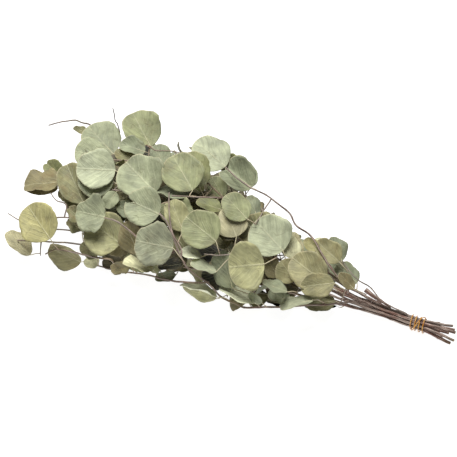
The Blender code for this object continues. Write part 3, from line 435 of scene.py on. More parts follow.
# Bare twigs read from the picture: how deep in the bunch the root is, in mm, thickness
# against the others, and pixels from the root outwards
BareTwig = namedtuple("BareTwig", "depth girth pixels")
BARE_TWIGS = (
    BareTwig(2, 1.0, (
        (347, 287), (327, 262), (311.5, 236.4), (296.5, 225.3), (289, 213), (274, 201),
        (264.8, 194.3), (248, 186), (235, 176.7), (225.5, 167))),
    BareTwig(2, 1.0, ((408, 314), (383.6, 300.8), (370.8, 288), (358, 279.8), (347, 268), (342, 261))),
    BareTwig(0, 1.7, ((392, 306), (378, 299), (365, 290))),
    BareTwig(2, 1.0, (
        (346, 303), (298, 306), (250, 307.7), (235.7, 303.2), (220.5, 297), (209, 284.5),
        (187.6, 267.6), (177, 248), (168, 223.7), (159, 213.8))),
    BareTwig(2, 1.0, ((160, 256), (139.6, 240), (121, 223.7), (104.9, 217.6))),
    BareTwig(4, 1.0, ((206, 283), (172, 281), (148, 275), (121, 271), (97, 266))),
    BareTwig(4, 1.0, ((112, 260), (99, 258), (81, 254.2), (57.4, 249.6), (45, 254))),
    BareTwig(55, 0.9, ((102, 138), (90.5, 125.4), (81.4, 122.3), (74.4, 120.2), (61, 122), (48.4, 125.4))),
    BareTwig(55, 0.9, ((119, 136), (117.6, 124.5), (115, 119.4), (112.7, 108))),
    BareTwig(20, 1.0, ((66, 204.7), (56, 200.5), (50.5, 192.8))),
    BareTwig(4, 1.0, ((22, 221), (8, 213.5))),
    BareTwig(10, 1.0, ((150, 148), (156, 150.5), (170, 151), (181, 153), (186, 157))),
    BareTwig(2, 0.9, ((181, 249), (172.5, 232.5), (168.8, 207.5), (169.4, 193))),
    BareTwig(12, 0.9, ((223, 198), (208, 197.5), (195, 197), (172, 196))),
    BareTwig(8, 0.9, ((234, 254.5), (218, 255), (204, 254))),
)

# The leafy mass's outline in the picture, which no hidden leaf reaches over
MASS_OUTLINE = (
    (79, 157), (84, 130), (100, 122), (121, 126), (130, 116), (148, 114), (158, 130), (162, 148),
    (190, 152), (200, 140), (215, 138), (227, 152), (240, 160), (254, 174), (254, 192), (260, 206),
    (270, 217), (284, 222), (289, 237), (318, 243), (336, 246), (342, 264), (354, 274), (352, 290),
    (334, 298), (328, 312), (306, 312), (298, 304), (262, 302), (225, 301), (202, 276), (190, 270),
    (179, 270), (176, 280), (159, 280), (150, 272), (106, 270), (102, 261), (91, 251), (86, 240),
    (78, 232), (69, 222), (70, 206), (63, 203), (60, 188), (64, 174), (76, 165),
)


# The view

def sight_axes():
    """Right, up, and towards the viewer."""
    turn, rise = SIGHT_AZIMUTH, SIGHT_ELEVATION
    right = Vector((math.cos(turn), math.sin(turn), 0.0))
    back = Vector((math.cos(rise) * math.sin(turn), -math.cos(rise) * math.cos(turn), math.sin(rise)))
    return right, back.cross(right), back


RIGHT, UP, BACK = sight_axes()
PICTURE_POINT = TIE_MIDDLE - RIGHT * (TIE_U - PICTURE_MIDDLE) * PIXEL - UP * (PICTURE_MIDDLE - TIE_V) * PIXEL


def seen_at(u, v, nearer):
    """The point that a pixel shows, at a distance in front of the picture's plane."""
    flat = RIGHT * ((u - PICTURE_MIDDLE) * PIXEL) + UP * ((PICTURE_MIDDLE - v) * PIXEL)
    return PICTURE_POINT + flat * (1.0 - nearer / SIGHT_DISTANCE) + BACK * nearer


# The outer form

def station_at(along):
    """The bunch's middle, half width and height, in metres, at a distance from the tie."""
    place = along / MM
    if place <= OUTER_FORM[0].along:
        before, after, share = OUTER_FORM[0], OUTER_FORM[0], 0.0
    elif place >= OUTER_FORM[-1].along:
        before, after, share = OUTER_FORM[-1], OUTER_FORM[-1], 0.0
    else:
        count = next(i for i, station in enumerate(OUTER_FORM) if station.along > place)
        before, after = OUTER_FORM[count - 1], OUTER_FORM[count]
        share = (place - before.along) / (after.along - before.along)
    middle = before.middle + (after.middle - before.middle) * share
    half_width = before.half_width + (after.half_width - before.half_width) * share
    height = before.height + (after.height - before.height) * share
    return middle * MM, half_width * MM, height * MM


def outside(point):
    """Below 0 inside the bunch's outer form, 0 on it, above 0 outside."""
    middle, half_width, height = station_at(-point.x)
    across = (point.y - middle) / half_width
    up = (point.z - height / 2) / (height / 2)
    past = max(0.0, -point.x - OUTER_FORM[-1].along * MM) / PAST_END
    return across * across + up * up + past - 1.0


def outward(point):
    """The outer form's outward direction at a point."""
    middle, half_width, height = station_at(-point.x)
    return Vector((
        0.0,
        (point.y - middle) / (half_width * half_width),
        (point.z - height / 2) / (height * height / 4),
    )).normalized()


def surface_nearness(u, v):
    """How near the viewer the outer form lies at a pixel, or passes nearest to it."""
    best, nearest = None, 0.0
    for count in range(SEARCH_STEPS):
        nearer = (SEARCH_FROM - SEARCH_STEP * count) * MM
        value = outside(seen_at(u, v, nearer))
        if value <= 0.0:
            return nearer
        if best is None or value < best:
            best, nearest = value, nearer
    return nearest


VIEWER = PICTURE_POINT + BACK * SIGHT_DISTANCE


def picture_place(point):
    """The pixel that a point is seen at."""
    nearer = (point - PICTURE_POINT).dot(BACK)
    scale = PIXEL * (1.0 - nearer / SIGHT_DISTANCE)
    offset = point - PICTURE_POINT
    return PICTURE_MIDDLE + offset.dot(RIGHT) / scale, PICTURE_MIDDLE - offset.dot(UP) / scale


def in_mass(point):
    """Whether a point is seen inside the leafy mass's outline."""
    u, v = picture_place(point)
    inside = False
    for (u1, v1), (u2, v2) in zip(MASS_OUTLINE, MASS_OUTLINE[1:] + MASS_OUTLINE[:1]):
        if (v1 > v) != (v2 > v) and u < u1 + (u2 - u1) * (v - v1) / (v2 - v1):
            inside = not inside
    return inside


# Plain meshes: a list of points and a list of faces

def tube(points, radii, sides, grow=0.0):
    """A closed tube along points, kept on the table, with a ring square to the route at each."""
    along = (points[1] - points[0]).normalized()
    side = along.orthogonal().normalized()
    verts = []
    for count, point in enumerate(points):
        before = points[max(count - 1, 0)]
        after = points[min(count + 1, len(points) - 1)]
        turn = (after - before).normalized()
        side = (side - turn * side.dot(turn)).normalized()
        other = turn.cross(side)
        for corner in range(sides):
            angle = 2 * math.pi * corner / sides
            reach = radii[count] + grow
            verts.append(point + side * (reach * math.cos(angle)) + other * (reach * math.sin(angle)))
    faces = [tuple(reversed(range(sides)))]
    for ring in range(len(points) - 1):
        for corner in range(sides):
            low = ring * sides + corner
            next_low = ring * sides + (corner + 1) % sides
            faces.append((low, next_low, next_low + sides, low + sides))
    last = (len(points) - 1) * sides
    faces.append(tuple(range(last, last + sides)))
    for vert in verts:
        vert.z = max(vert.z, 0.0)
    return verts, faces


Leaf = namedtuple("Leaf", "base along side face length width flare fold curl root plan tint habit")

# A blade's plan: the outline's corners on each side of the midrib, in degrees round from
# the base, the midrib's points as shares of the length, and the triangles of one face.
# The corners go round the outline from the base's right, and the midrib's come last.
Plan = namedtuple("Plan", "angles midrib triangles")
ROUND_PLAN = Plan((30, 68, 106, 144), (0.34, 0.68), (
    (0, 1, 11), (1, 2, 11), (2, 12, 11), (2, 3, 12), (3, 4, 12), (4, 5, 12),
    (5, 6, 12), (6, 7, 12), (7, 8, 12), (8, 11, 12), (8, 9, 11), (9, 10, 11), (10, 0, 11),
))
HIDDEN_PLAN = Plan((38, 84, 130), (0.5,), (
    (0, 1, 9), (1, 2, 9), (2, 3, 9), (3, 4, 9), (4, 5, 9), (5, 6, 9), (6, 7, 9), (7, 8, 9), (8, 0, 9),
))


def blade_point(leaf, share, across):
    """A point of the blade's middle surface, at a share of its length and a place across."""
    lift = leaf.fold * abs(across) - leaf.curl * leaf.length * share * share
    point = leaf.base + leaf.along * (leaf.length * share) + leaf.side * across + leaf.face * lift
    point.z = max(point.z, LOWEST_BLADE)
    return point


def leaf_middle_points(leaf, grow=0.0):
    """The blade's outline from the base's right corner round the tip, then the midrib."""
    right, left = [], []
    for angle in leaf.plan.angles:
        turn = math.radians(angle)
        share = (1 - math.cos(turn)) / 2
        across = leaf.width / 2 * math.sin(turn) * (1 + leaf.flare * math.cos(turn)) + grow
        right.append(blade_point(leaf, share, across))
        left.append(blade_point(leaf, share, -across))
    points = [blade_point(leaf, 0.0, STALK_WIDTH / 2)]
    points += right
    points.append(blade_point(leaf, BLADE_TIP + grow / leaf.length, 0.0))
    points += reversed(left)
    points.append(blade_point(leaf, 0.0, -STALK_WIDTH / 2))
    points += [blade_point(leaf, share, 0.0) for share in leaf.plan.midrib]
    return points


def leaf_mesh(leaf, grow=0.0):
    """One closed leaf: a thin blade of two like faces, a rim, and its stalk to the root."""
    middle = leaf_middle_points(leaf, grow)
    half = leaf.face * (BLADE_THICKNESS / 2 + grow)
    count = len(middle)
    verts = [point + half for point in middle] + [point - half for point in middle]
    for vert in verts:
        vert.z = max(vert.z, 0.0)
    faces = list(leaf.plan.triangles)
    faces += [(a + count, c + count, b + count) for a, b, c in leaf.plan.triangles]
    last = count - len(leaf.plan.midrib) - 1
    for corner in range(last):
        faces.append((corner, corner + count, corner + 1))
        faces.append((corner + 1, corner + count, corner + 1 + count))
    if leaf.root is None:
        faces.append((last, last + count, 0))
        faces.append((0, last + count, count))
        return verts, faces
    stalk = (leaf.base - leaf.root).normalized()
    side = (leaf.side - stalk * leaf.side.dot(stalk)).normalized()
    up = stalk.cross(side)
    if up.dot(leaf.face) < 0:
        up = -up
    reach = STALK_ROOT / 2 + grow
    root = len(verts)
    verts += [
        leaf.root + (side + up) * reach,
        leaf.root + (up - side) * reach,
        leaf.root - (side + up) * reach,
        leaf.root + (side - up) * reach,
    ]
    for vert in verts[root:]:
        vert.z = max(vert.z, 0.0)
    blade_end = (0, last, last + count, count)
    for corner in range(4):
        a, b = blade_end[corner], blade_end[(corner + 1) % 4]
        c, d = root + (corner + 1) % 4, root + corner
        faces.append((a, b, c))
        faces.append((a, c, d))
    faces.append((root, root + 1, root + 2))
    faces.append((root, root + 2, root + 3))
    return verts, faces


# What is already in place, so that nothing crosses

Placed = namedtuple("Placed", "tree low high")


class Crowd:
    """Every shoot and leaf in place, each a little larger than life."""

    def __init__(self):
        self.pieces = {}
        self.count = 0

    @staticmethod
    def outline(mesh):
        """A mesh's search tree and its box."""
        verts, faces = mesh
        low = [min(vert[axis] for vert in verts) for axis in range(3)]
        high = [max(vert[axis] for vert in verts) for axis in range(3)]
        return Placed(BVHTree.FromPolygons(verts, faces), low, high)

    def is_clear(self, mesh, touching=()):
        """Whether a mesh crosses nothing but the pieces that it may touch."""
        new = self.outline(mesh)
        for key, old in self.pieces.items():
            if key in touching:
                continue
            if any(new.low[axis] > old.high[axis] or new.high[axis] < old.low[axis] for axis in range(3)):
                continue
            if new.tree.overlap(old.tree):
                return False
        return True

    def add(self, mesh):
        """Take up a mesh's room, and return the key to it."""
        self.count += 1
        self.pieces[self.count] = self.outline(mesh)
        return self.count

    def drop(self, key):
        """Free a mesh's room again."""
        del self.pieces[key]


# Stems and twigs

Shoot = namedtuple("Shoot", "stem key points radii kind places")


def root_places(points, kind):
    """Places along a shoot's middle line where a root may be sunk."""
    places = []
    for start, end in zip(points, points[1:]):
        steps = max(1, round((end - start).length / ROOT_SPACING))
        for count in range(steps):
            place = start.lerp(end, (count + ROOT_SHARE) / steps)
            if kind == "twig" or place.x < -LEAFLESS:
                places.append(place)
    return places


def fan_share(along):
    """How far the fan of stems has opened at a distance from the tie."""
    if along <= FAN_AT:
        return (max(along - HELD_LENGTH, 0.0) / (FAN_AT - HELD_LENGTH)) ** FAN_POWER
    return 1.0 + FAN_GROWTH * (along - FAN_AT)


def stem_route(stem, noise):
    """A stem's middle line from its cut end, through the tie, to its tip."""
    slot = Vector((0.0, 0.0, 0.0))
    if stem.slot is not None:
        angle = math.radians(stem.slot)
        slot = Vector((0.0, math.cos(angle), math.sin(angle))) * SLOT_RADIUS
    aim = Vector((0.0, stem.side * MM, stem.height * MM - FAN_HEIGHT))
    places = [-stem.cut]
    places += [place for place in STEM_PLACES if place < stem.reach - TIP_GAP]
    places.append(stem.reach)
    points = []
    for place in places:
        along = place * MM
        share = fan_share(along)
        middle = station_at(along)[0] if place > BEND_FROM else 0.0
        height = TIE_HEIGHT + (FAN_HEIGHT - TIE_HEIGHT) * min(share, 1.0)
        if place < 0:
            past = max(0.0, -along - HELD_LENGTH) / MM
            point = Vector((-along, 0.0, TIE_HEIGHT)) + slot * (1.0 + CUT_SPREAD * past)
            point.z -= max(0.0, point.z - CUT_DROOP_HEIGHT) * CUT_DROOP * (past / CUT_DROOP_LENGTH) ** 2
        else:
            held = min(share, 1.0)
            point = Vector((-along, middle * BEND_SHARE, height)) + slot * (1 - held) + aim * share
            sway = 0.0 if place < SWAY_FROM else SWAY
            point.y += noise.uniform(-sway, sway)
            point.z += noise.uniform(-sway, sway)
        if place > TIP_DROOP_FROM:
            point.z -= (place - TIP_DROOP_FROM) * MM * TIP_DROOP * (point.z / TIP_DROOP_HEIGHT)
        point.z = max(point.z, STEM_RADIUS * stem.girth + CLEARANCE)
        points.append(point)
    return points


def stem_radii(stem, points):
    """A stem's thickness, thickest at the cut end."""
    thick = STEM_RADIUS * stem.girth
    reach = -points[-1].x
    radii = []
    for point in points:
        share = max(0.0, -point.x) / reach
        radii.append(thick + (STEM_TIP_RADIUS - thick) * share ** STEM_TAPER)
    return radii


def twig_radii(count, girth=1.0):
    """A twig's thickness from root to tip."""
    return [girth * (TWIG_RADIUS + (TWIG_TIP_RADIUS - TWIG_RADIUS) * i / (count - 1)) for i in range(count)]


def bowed(start, end, bow, steps):
    """Points from start to end, bowed sideways by a vector at the middle."""
    points = []
    for count in range(steps + 1):
        share = count / steps
        points.append(start.lerp(end, share) + bow * (4 * share * (1 - share)))
    return points


class Bunch:
    """The growing bunch: its shoots, its leaves and what is taken."""

    def __init__(self):
        self.noise = random.Random(SEED)
        self.crowd = Crowd()
        self.shoots = []
        self.leaves = []
        self.shown = None

    def add_shoot(self, stem, points, radii, kind, parent=None):
        """Put a stem or twig in place where it is clear, and return it."""
        sides = STEM_SIDES if kind == "stem" else TWIG_SIDES
        loose = tube(points, radii, sides, CLEARANCE)
        touching = () if parent is None else (parent.key,)
        if kind != "stem" and not self.crowd.is_clear(loose, touching):
            return None
        shoot = Shoot(stem, self.crowd.add(loose), points, radii, kind, root_places(points, kind))
        self.shoots.append(shoot)
        return shoot

    def anchors(self, near, low, high, ahead=True):
        """Places on shoots between two distances from a point, nearest first."""
        found = []
        for shoot in self.shoots:
            for count, place in enumerate(shoot.places):
                distance = (place - near).length
                if not low <= distance <= high:
                    continue
                if ahead and place.x < near.x - AHEAD * distance:
                    continue
                found.append((distance, shoot.key, count, shoot))
        found.sort(key=lambda item: item[:3])
        return [(item[3], item[3].places[item[2]]) for item in found]

    def hides_shown(self, points):
        """Whether any of the points lies between the viewer and a shown leaf."""
        for point in points:
            if self.shown.ray_cast(point, (point - VIEWER).normalized(), HIDING_REACH)[0] is not None:
                return True
        return False

    def try_leaf(self, leaf, shoot):
        """Put a leaf in place on a shoot where it is clear."""
        loose = leaf_mesh(leaf, CLEARANCE)
        if not self.crowd.is_clear(loose, (shoot.key,)):
            return False
        self.crowd.add(loose)
        self.leaves.append((shoot.stem, leaf))
        return True


def grow_stems(bunch):
    """The nine stems, through the tie and out to their tips."""
    for number, stem in enumerate(STEMS):
        points = stem_route(stem, bunch.noise)
        bunch.add_shoot(number, points, stem_radii(stem, points), "stem")


def rolled(face, axis, degrees):
    """A blade's facing, rolled about its length so that it turns upwards."""
    one = Matrix.Rotation(math.radians(degrees), 3, axis) @ face
    other = Matrix.Rotation(math.radians(-degrees), 3, axis) @ face
    return one if one.z > other.z else other


def shown_blade(shown, shift, tilt, noise):
    """The blade that a shown leaf's pixels give, at a shift towards the viewer."""
    middle_u = (shown.base_u + shown.tip_u) / 2
    middle_v = (shown.base_v + shown.tip_v) / 2
    nearer = surface_nearness(middle_u, middle_v) - shown.layer * LAYER_DEPTH + shift
    middle = seen_at(middle_u, middle_v, nearer)
    face = BACK if shown.roll else (BACK + outward(middle) * 0.4).normalized()
    face = (face + Vector([noise.gauss(0, tilt) for _ in range(3)])).normalized()
    flat = RIGHT * (shown.tip_u - shown.base_u) + UP * (shown.base_v - shown.tip_v)
    flat *= PIXEL * (1.0 - nearer / SIGHT_DISTANCE)
    span = flat - BACK * (flat.dot(face) / BACK.dot(face))
    along = span.normalized()
    if shown.roll:
        face = rolled(face, along, shown.roll)
    side = face.cross(along).normalized()
    face = along.cross(side).normalized()
    return Leaf(
        middle - span / 2, along, side, face, span.length, flat.length * shown.width, shown.flare,
        noise.uniform(*SHOWN_FOLDS), noise.uniform(*SHOWN_CURLS), None,
        ROUND_PLAN if shown.layer < 2 else HIDDEN_PLAN, shown.tint, shown.habit,
    )


# The ways that a stalk may leave its blade, tried in turn: its length in mm, its turn to
# the side and its dip into the bunch
STALK_WAYS = (
    (15, 0.0, 0.8), (18, 0.5, 0.8), (13, -0.5, 0.8), (18, -0.8, 0.5),
    (20, 0.9, 0.5), (12, 0.2, 1.2), (22, 0.0, 0.3), (24, 0.6, 1.2), (24, -0.6, 1.2),
    (10, 0.0, 1.0), (16, 0.3, 0.1), (30, -0.3, 0.6), (14, -1.0, 0.2), (14, 1.0, 0.2),
)


def stalk_root(leaf, bunch):
    """A shoot and a place on it that a blade's stalk can reach, or a new twig to it."""
    for shoot, place in bunch.anchors(leaf.base, *STALK_REACH, False)[:ROOTS_TRIED]:
        if (leaf.base - place).normalized().dot(leaf.along) < STALK_ALIGNED:
            continue
        whole = leaf._replace(root=place)
        if bunch.try_leaf(whole, shoot):
            return True
    inward = -outward(leaf.base)
    for reach, turn, dip in STALK_WAYS:
        way = (inward * dip - leaf.along + TWIG_BACKWARDS + leaf.side * turn).normalized()
        end = leaf.base + way * (reach * MM)
        end.z = max(end.z, TWIG_LOWEST)
        if (leaf.base - end).normalized().dot(leaf.along) < STALK_ALIGNED:
            continue
        for shoot, start in bunch.anchors(end, *NEW_TWIG_REACH)[:ROOTS_TRIED]:
            bow = Vector((0.0, 0.0, (end - start).length * bunch.noise.uniform(*TWIG_BOWS)))
            steps = max(2, round((end - start).length / TWIG_STEP))
            points = bowed(start, end, bow, steps)
            if bunch.hides_shown(points[1:]):
                continue
            twig = bunch.add_shoot(shoot.stem, points, twig_radii(len(points)), "twig", shoot)
            if twig and bunch.try_leaf(leaf._replace(root=twig.places[-1]), twig):
                return True
            if twig:
                bunch.crowd.drop(twig.key)
                bunch.shoots.remove(twig)
    return False


def moved_root(shown, bunch):
    """The stalk of a shown leaf that has none at its first place: other depths in turn."""
    for count, shift in enumerate(SHIFTS):
        blade = shown_blade(shown, shift * MM, SHOWN_TILT + SHOWN_TILT_STEP * count, bunch.noise)
        if bunch.crowd.is_clear(leaf_mesh(blade, CLEARANCE)) and stalk_root(blade, bunch):
            return True
    return False


def grow_bare_twigs(bunch):
    """The bare twigs that the picture shows, joined to the nearest shoot."""
    for bare in BARE_TWIGS:
        points = []
        for count, (u, v) in enumerate(bare.pixels):
            depth = bare.depth * (1 - count / (len(bare.pixels) - 1)) * MM
            point = seen_at(u, v, surface_nearness(u, v) - depth)
            point.z = max(point.z, TWIG_RADIUS)
            points.append(point)
        for shoot, place in bunch.anchors(points[0], 0.0, BARE_TWIG_REACH, False)[:ROOTS_TRIED]:
            route = [place] + points
            if (route[1] - route[0]).length < SHORTEST_STEP:
                route = [place] + points[1:]
            if bunch.add_shoot(shoot.stem, route, twig_radii(len(route), bare.girth), "twig", shoot):
                break


def place_shown(bunch):
    """Every shown leaf, each on a stalk, moved a little nearer or further until it is clear."""
    held = []
    for shown in sorted(SHOWN, key=lambda item: item.layer):
        for count, shift in enumerate(SHIFTS):
            blade = shown_blade(shown, shift * MM, SHOWN_TILT + SHOWN_TILT_STEP * count, bunch.noise)
            loose = leaf_mesh(blade, CLEARANCE)
            if bunch.crowd.is_clear(loose):
                held.append((bunch.crowd.add(loose), blade, shown))
                break
    verts, faces = [], []
    for _, blade, _ in held:
        more_verts, more_faces = leaf_mesh(blade)
        faces += [tuple(corner + len(verts) for corner in face) for face in more_faces]
        verts += more_verts
    bunch.shown = BVHTree.FromPolygons(verts, faces)
    stem_points = [point for shoot in bunch.shoots for point in shoot.points]
    held.sort(key=lambda item: min((item[1].base - point).length for point in stem_points))
    for key, blade, shown in held:
        bunch.crowd.drop(key)
        if not stalk_root(blade, bunch):
            moved_root(shown, bunch)


def grow_side_twigs(bunch):
    """Side twigs by rule: alternate, forwards and outwards, where they are clear."""
    noise = bunch.noise
    for shoot in [item for item in bunch.shoots if item.kind == "stem"]:
        for start in shoot.places[TWIG_FIRST::TWIG_EVERY]:
            for _ in range(TWIG_TRIES):
                angle = noise.uniform(0, 2 * math.pi)
                # To the tips, round about, rather sideways than up or down, and outwards
                way = Vector((-1.1, math.cos(angle), 0.8 * math.sin(angle)))
                way = (way + outward(start) * 0.8).normalized()
                length = noise.uniform(*TWIG_LENGTHS)
                end = start + way * length
                if outside(end) > SIDE_TWIG_OUTSIDE or end.z < SIDE_TWIG_LOWEST or not in_mass(end):
                    continue
                bow = Vector((0.0, 0.0, length * noise.uniform(*SIDE_TWIG_BOWS)))
                points = bowed(start, end, bow, SIDE_TWIG_STEPS)
                if bunch.hides_shown(points[1:]):
                    continue
                if bunch.add_shoot(shoot.stem, points, twig_radii(len(points)), "twig", shoot):
                    break


def grow_leaves(bunch, total):
    """The leaves that the shown ones hide, by rule, until there are as many as a total."""
    noise = bunch.noise
    tries = 0
    while len(bunch.leaves) < total and tries < LEAF_TRIES:
        tries += 1
        shoot = noise.choice(bunch.shoots)
        root = noise.choice(shoot.places)
        angle = noise.uniform(0, 2 * math.pi)
        # The stalk goes to the tips, round about and outwards, and the blade hangs from it
        way = Vector((-0.7, math.cos(angle), math.sin(angle)))
        way = (way + outward(root) * 0.5).normalized()
        base = root + way * noise.uniform(*STALK_LENGTHS)
        along = (way + Vector((-0.5, noise.uniform(-0.6, 0.6), noise.uniform(-0.6, 0.5)))).normalized()
        size = noise.uniform(*HIDDEN_LENGTHS)
        tip = base + along * size
        if base.z < HIDDEN_BASE_LOWEST or tip.z < HIDDEN_TIP_LOWEST:
            continue
        if outside(tip) > HIDDEN_TIP_OUTSIDE or outside(base) > 0.0:
            continue
        # The blade faces outwards and up, tipped by chance
        tipped = Vector([noise.gauss(0, HIDDEN_TILT) for _ in range(3)])
        face = outward(base) + tipped + Vector((0, 0, 0.5))
        side = face.cross(along)
        if side.length < HIDDEN_LEAST_SIDE:
            continue
        side.normalize()
        face = along.cross(side).normalized()
        # Not on edge down at the table
        if min(base.z, tip.z) < size * 0.5 * abs(side.z) and abs(face.z) < HIDDEN_UPRIGHT:
            continue
        width = size * noise.uniform(*HIDDEN_WIDTHS)
        middle = (base + tip) / 2
        ends = [base, middle, tip, middle + side * (width / 2), middle - side * (width / 2)]
        if not all(in_mass(end) for end in ends) or bunch.hides_shown(ends):
            continue
        leaf = Leaf(
            base, along, side, face, size, width, noise.uniform(*HIDDEN_FLARES),
            noise.uniform(*HIDDEN_FOLDS), noise.uniform(*HIDDEN_CURLS), root, HIDDEN_PLAN, None, None,
        )
        bunch.try_leaf(leaf, shoot)


# How the leaves dried

# What a leaf dried to: how tightly it rolls across, per metre, how far it folds at the
# midrib, how deep its edge waves, in mm, how uneven its outline is as a share of its half
# width, how deep its tip is notched as a share of its length, and half the notch's width
Habit = namedtuple("Habit", "roll fold wave ripple notch gap")
HABITS = {
    "flat": Habit(8, 0.03, 1.6, 0.05, 0.02, 0.3),
    "cupped": Habit(19, 0.07, 2.0, 0.055, 0.03, 0.3),
    "angular": Habit(10, 0.06, 2.4, 0.1, 0.04, 0.4),
    "folded": Habit(8, 0.5, 1.4, 0.05, 0.1, 0.3),
    "bent": Habit(22, 0.3, 2.4, 0.06, 0.26, 0.75),
    "curled": Habit(42, 0.12, 2.2, 0.06, 0, 0.3),
    "wrinkled": Habit(12, 0.15, 3.4, 0.13, 0.05, 0.3),
    "notched": Habit(5, 0.03, 1.4, 0.04, 0.3, 0.16),
}
HIDDEN_HABITS = ("flat", "flat", "cupped", "cupped", "curled", "wrinkled")

# Leaves in the gaps between the shown ones, most of them deep, in the same terms as those.
# Most have dark tints, which paint the shade in those gaps.
FILLERS = (
    Shown(168, 200, 150, 184, 1.00, .10, 0, 4, "umber", "flat"),
    Shown(127, 169, 110, 157, 0.95, .10, 0, 4, "umber", "flat"),
    Shown(234, 173, 219, 158, 0.90, .10, 0, 4, "moss", "flat"),
    Shown(285, 304, 267, 301, 0.70, .10, 0, 4, "umber", "flat"),
    Shown(273, 303, 256, 289, 0.90, .10, 0, 4, "umber", "flat"),
    Shown(152, 157, 136, 149, 0.80, .10, 0, 5, "shade", "flat"),
    Shown(291, 261, 272, 251, 0.90, .10, 0, 4, "umber", "flat"),
    Shown(336, 309, 306, 311, 0.55, .10, 0, 3, "moss", "flat"),
    Shown(216, 299, 184, 286, 0.45, .10, 0, 1, "wheat", "flat"),
    Shown(58, 188, 27, 189, 0.42, .10, 0, 1, "tan", "angular"),
    Shown(116, 250, 98, 248, 0.80, .10, 0, 4, "umber", "flat"),
    Shown(190, 250, 172, 246, 0.90, .10, 0, 4, "shade", "flat"),
    Shown(166, 224, 152, 218, 0.80, .10, 0, 3, "shade", "flat"),
    Shown(212, 258, 198, 240, 0.90, .10, 0, 4, "umber", "flat"),
    Shown(136, 256, 118, 252, 0.80, .10, 0, 3, "tan", "flat"),
)

# The colours that the leaves dried to, and how far each has turned from green. The near black one is painted
# shade on leaves that lie deep in shadow, and the palest is a pale underside made lighter still as painted
# light.
LEAF_TINTS = {
    # A pale underside, made lighter still as painted light on leaves that lie in shade
    "bleached": ("#e8ebc8", 0.1),
    "pale": ("#acb191", 0.1),
    "sage": ("#9ba07f", 0.15),
    "mist": ("#9a9d80", 0.2),
    "fern": ("#92966d", 0.3),
    "lime": ("#a8a678", 0.35),
    "wheat": ("#d3d1a6", 0.4),
    "straw": ("#b2ac87", 0.6),
    "olive": ("#848759", 0.5),
    "gold": ("#b0aa74", 0.6),
    "khaki": ("#98936a", 0.7),
    "dusk": ("#8c9274", 0.3),
    "moss": ("#82805a", 0.8),
    "tan": ("#847b56", 1.0),
    "umber": ("#665f44", 1.0),
    # Near black: painted shade on leaves that lie deep in shadow
    "shade": ("#1e1f11", 0.6),
}
# The hidden leaves' tints: dried greens and browns, kept darker than the shown ones' partly as painted shade
# inside the bunch
HIDDEN_TINTS = ("dusk", "olive", "moss", "tan", "umber", "moss", "umber", "dusk")
# The tints of the leaves in the bunch's middle, darker still: painted shade
CORE_SHADE_TINTS = ("umber", "shade", "moss", "shade")

# Nodes

def colour(hex_value):
    """A colour picked on screen, as the linear values that a shader takes."""
    channels = [int(hex_value[i:i + 2], 16) / 255 for i in (1, 3, 5)]
    linear = [c / 12.92 if c <= 0.04045 else ((c + 0.055) / 1.055) ** 2.4 for c in channels]
    return (*linear, 1.0)


def add(tree, kind, inputs=(), **settings):
    """Add a node with its settings. Each input is a value, a socket or a node's first output."""
    node = tree.nodes.new(kind)
    for name, value in settings.items():
        setattr(node, name, value)
    for key, value in inputs.items() if isinstance(inputs, dict) else enumerate(inputs):
        if isinstance(value, bpy.types.Node):
            value = next(output for output in value.outputs if output.enabled)
        if isinstance(value, bpy.types.NodeSocket):
            tree.links.new(value, node.inputs[key])
        else:
            node.inputs[key].default_value = value
    return node


def calc(tree, operation, *inputs):
    """A node that works out one number."""
    return add(tree, "ShaderNodeMath", inputs, operation=operation)


def ranged(tree, value, low, high, to_low, to_high, **settings):
    """A number brought from one range into another, and kept inside it."""
    return add(tree, "ShaderNodeMapRange", (value, low, high, to_low, to_high), **settings)


def eased(tree, value, low, high, to_low, to_high):
    """The same with a soft start and end."""
    return ranged(tree, value, low, high, to_low, to_high, interpolation_type="SMOOTHSTEP")


def mixed(tree, share, one, other, blend="MIX"):
    """A colour between two: the other's share over the one."""
    inputs = {0: share, 6: one, 7: other}
    return add(tree, "ShaderNodeMix", inputs, data_type="RGBA", blend_type=blend)


def shaded(tree, body, shade):
    """A colour made darker or lighter by a number."""
    return mixed(tree, 1.0, body, shade, "MULTIPLY")


def clouded(tree, place, scale, detail, distortion=0.0):
    """Soft clouds in space."""
    inputs = {"Vector": place, "Scale": scale, "Detail": detail, "Distortion": distortion}
    return add(tree, "ShaderNodeTexNoise", inputs)


def banded(tree, run, scale):
    """Soft bands along a tube."""
    inputs = {"W": run, "Scale": scale, "Detail": 2.0}
    return add(tree, "ShaderNodeTexNoise", inputs, noise_dimensions="1D")


def stored(tree, name, output="Fac"):
    """What a mesh's points hold under a name."""
    return add(tree, "ShaderNodeAttribute", attribute_name=name).outputs[output]


def scaled(tree, vector, factor):
    """A vector made longer or shorter by a number."""
    return add(tree, "ShaderNodeVectorMath", {0: vector, "Scale": factor}, operation="SCALE")


def dress(tree, shader, body, relief, strength, depth):
    """Give a shader its colour and its relief."""
    tree.links.new(body.outputs[2], shader.inputs["Base Color"])
    bump = add(tree, "ShaderNodeBump", {"Strength": strength, "Distance": depth, "Height": relief})
    tree.links.new(bump.outputs[0], shader.inputs["Normal"])


def new_finish(name, **values):
    """A material of one shader, with the values that are the same all over it."""
    material = bpy.data.materials.new(name)
    material.use_nodes = True
    tree = material.node_tree
    shader = tree.nodes["Principled BSDF"]
    for key, value in values.items():
        shader.inputs[key.replace("_", " ")].default_value = value
    return material, tree, shader


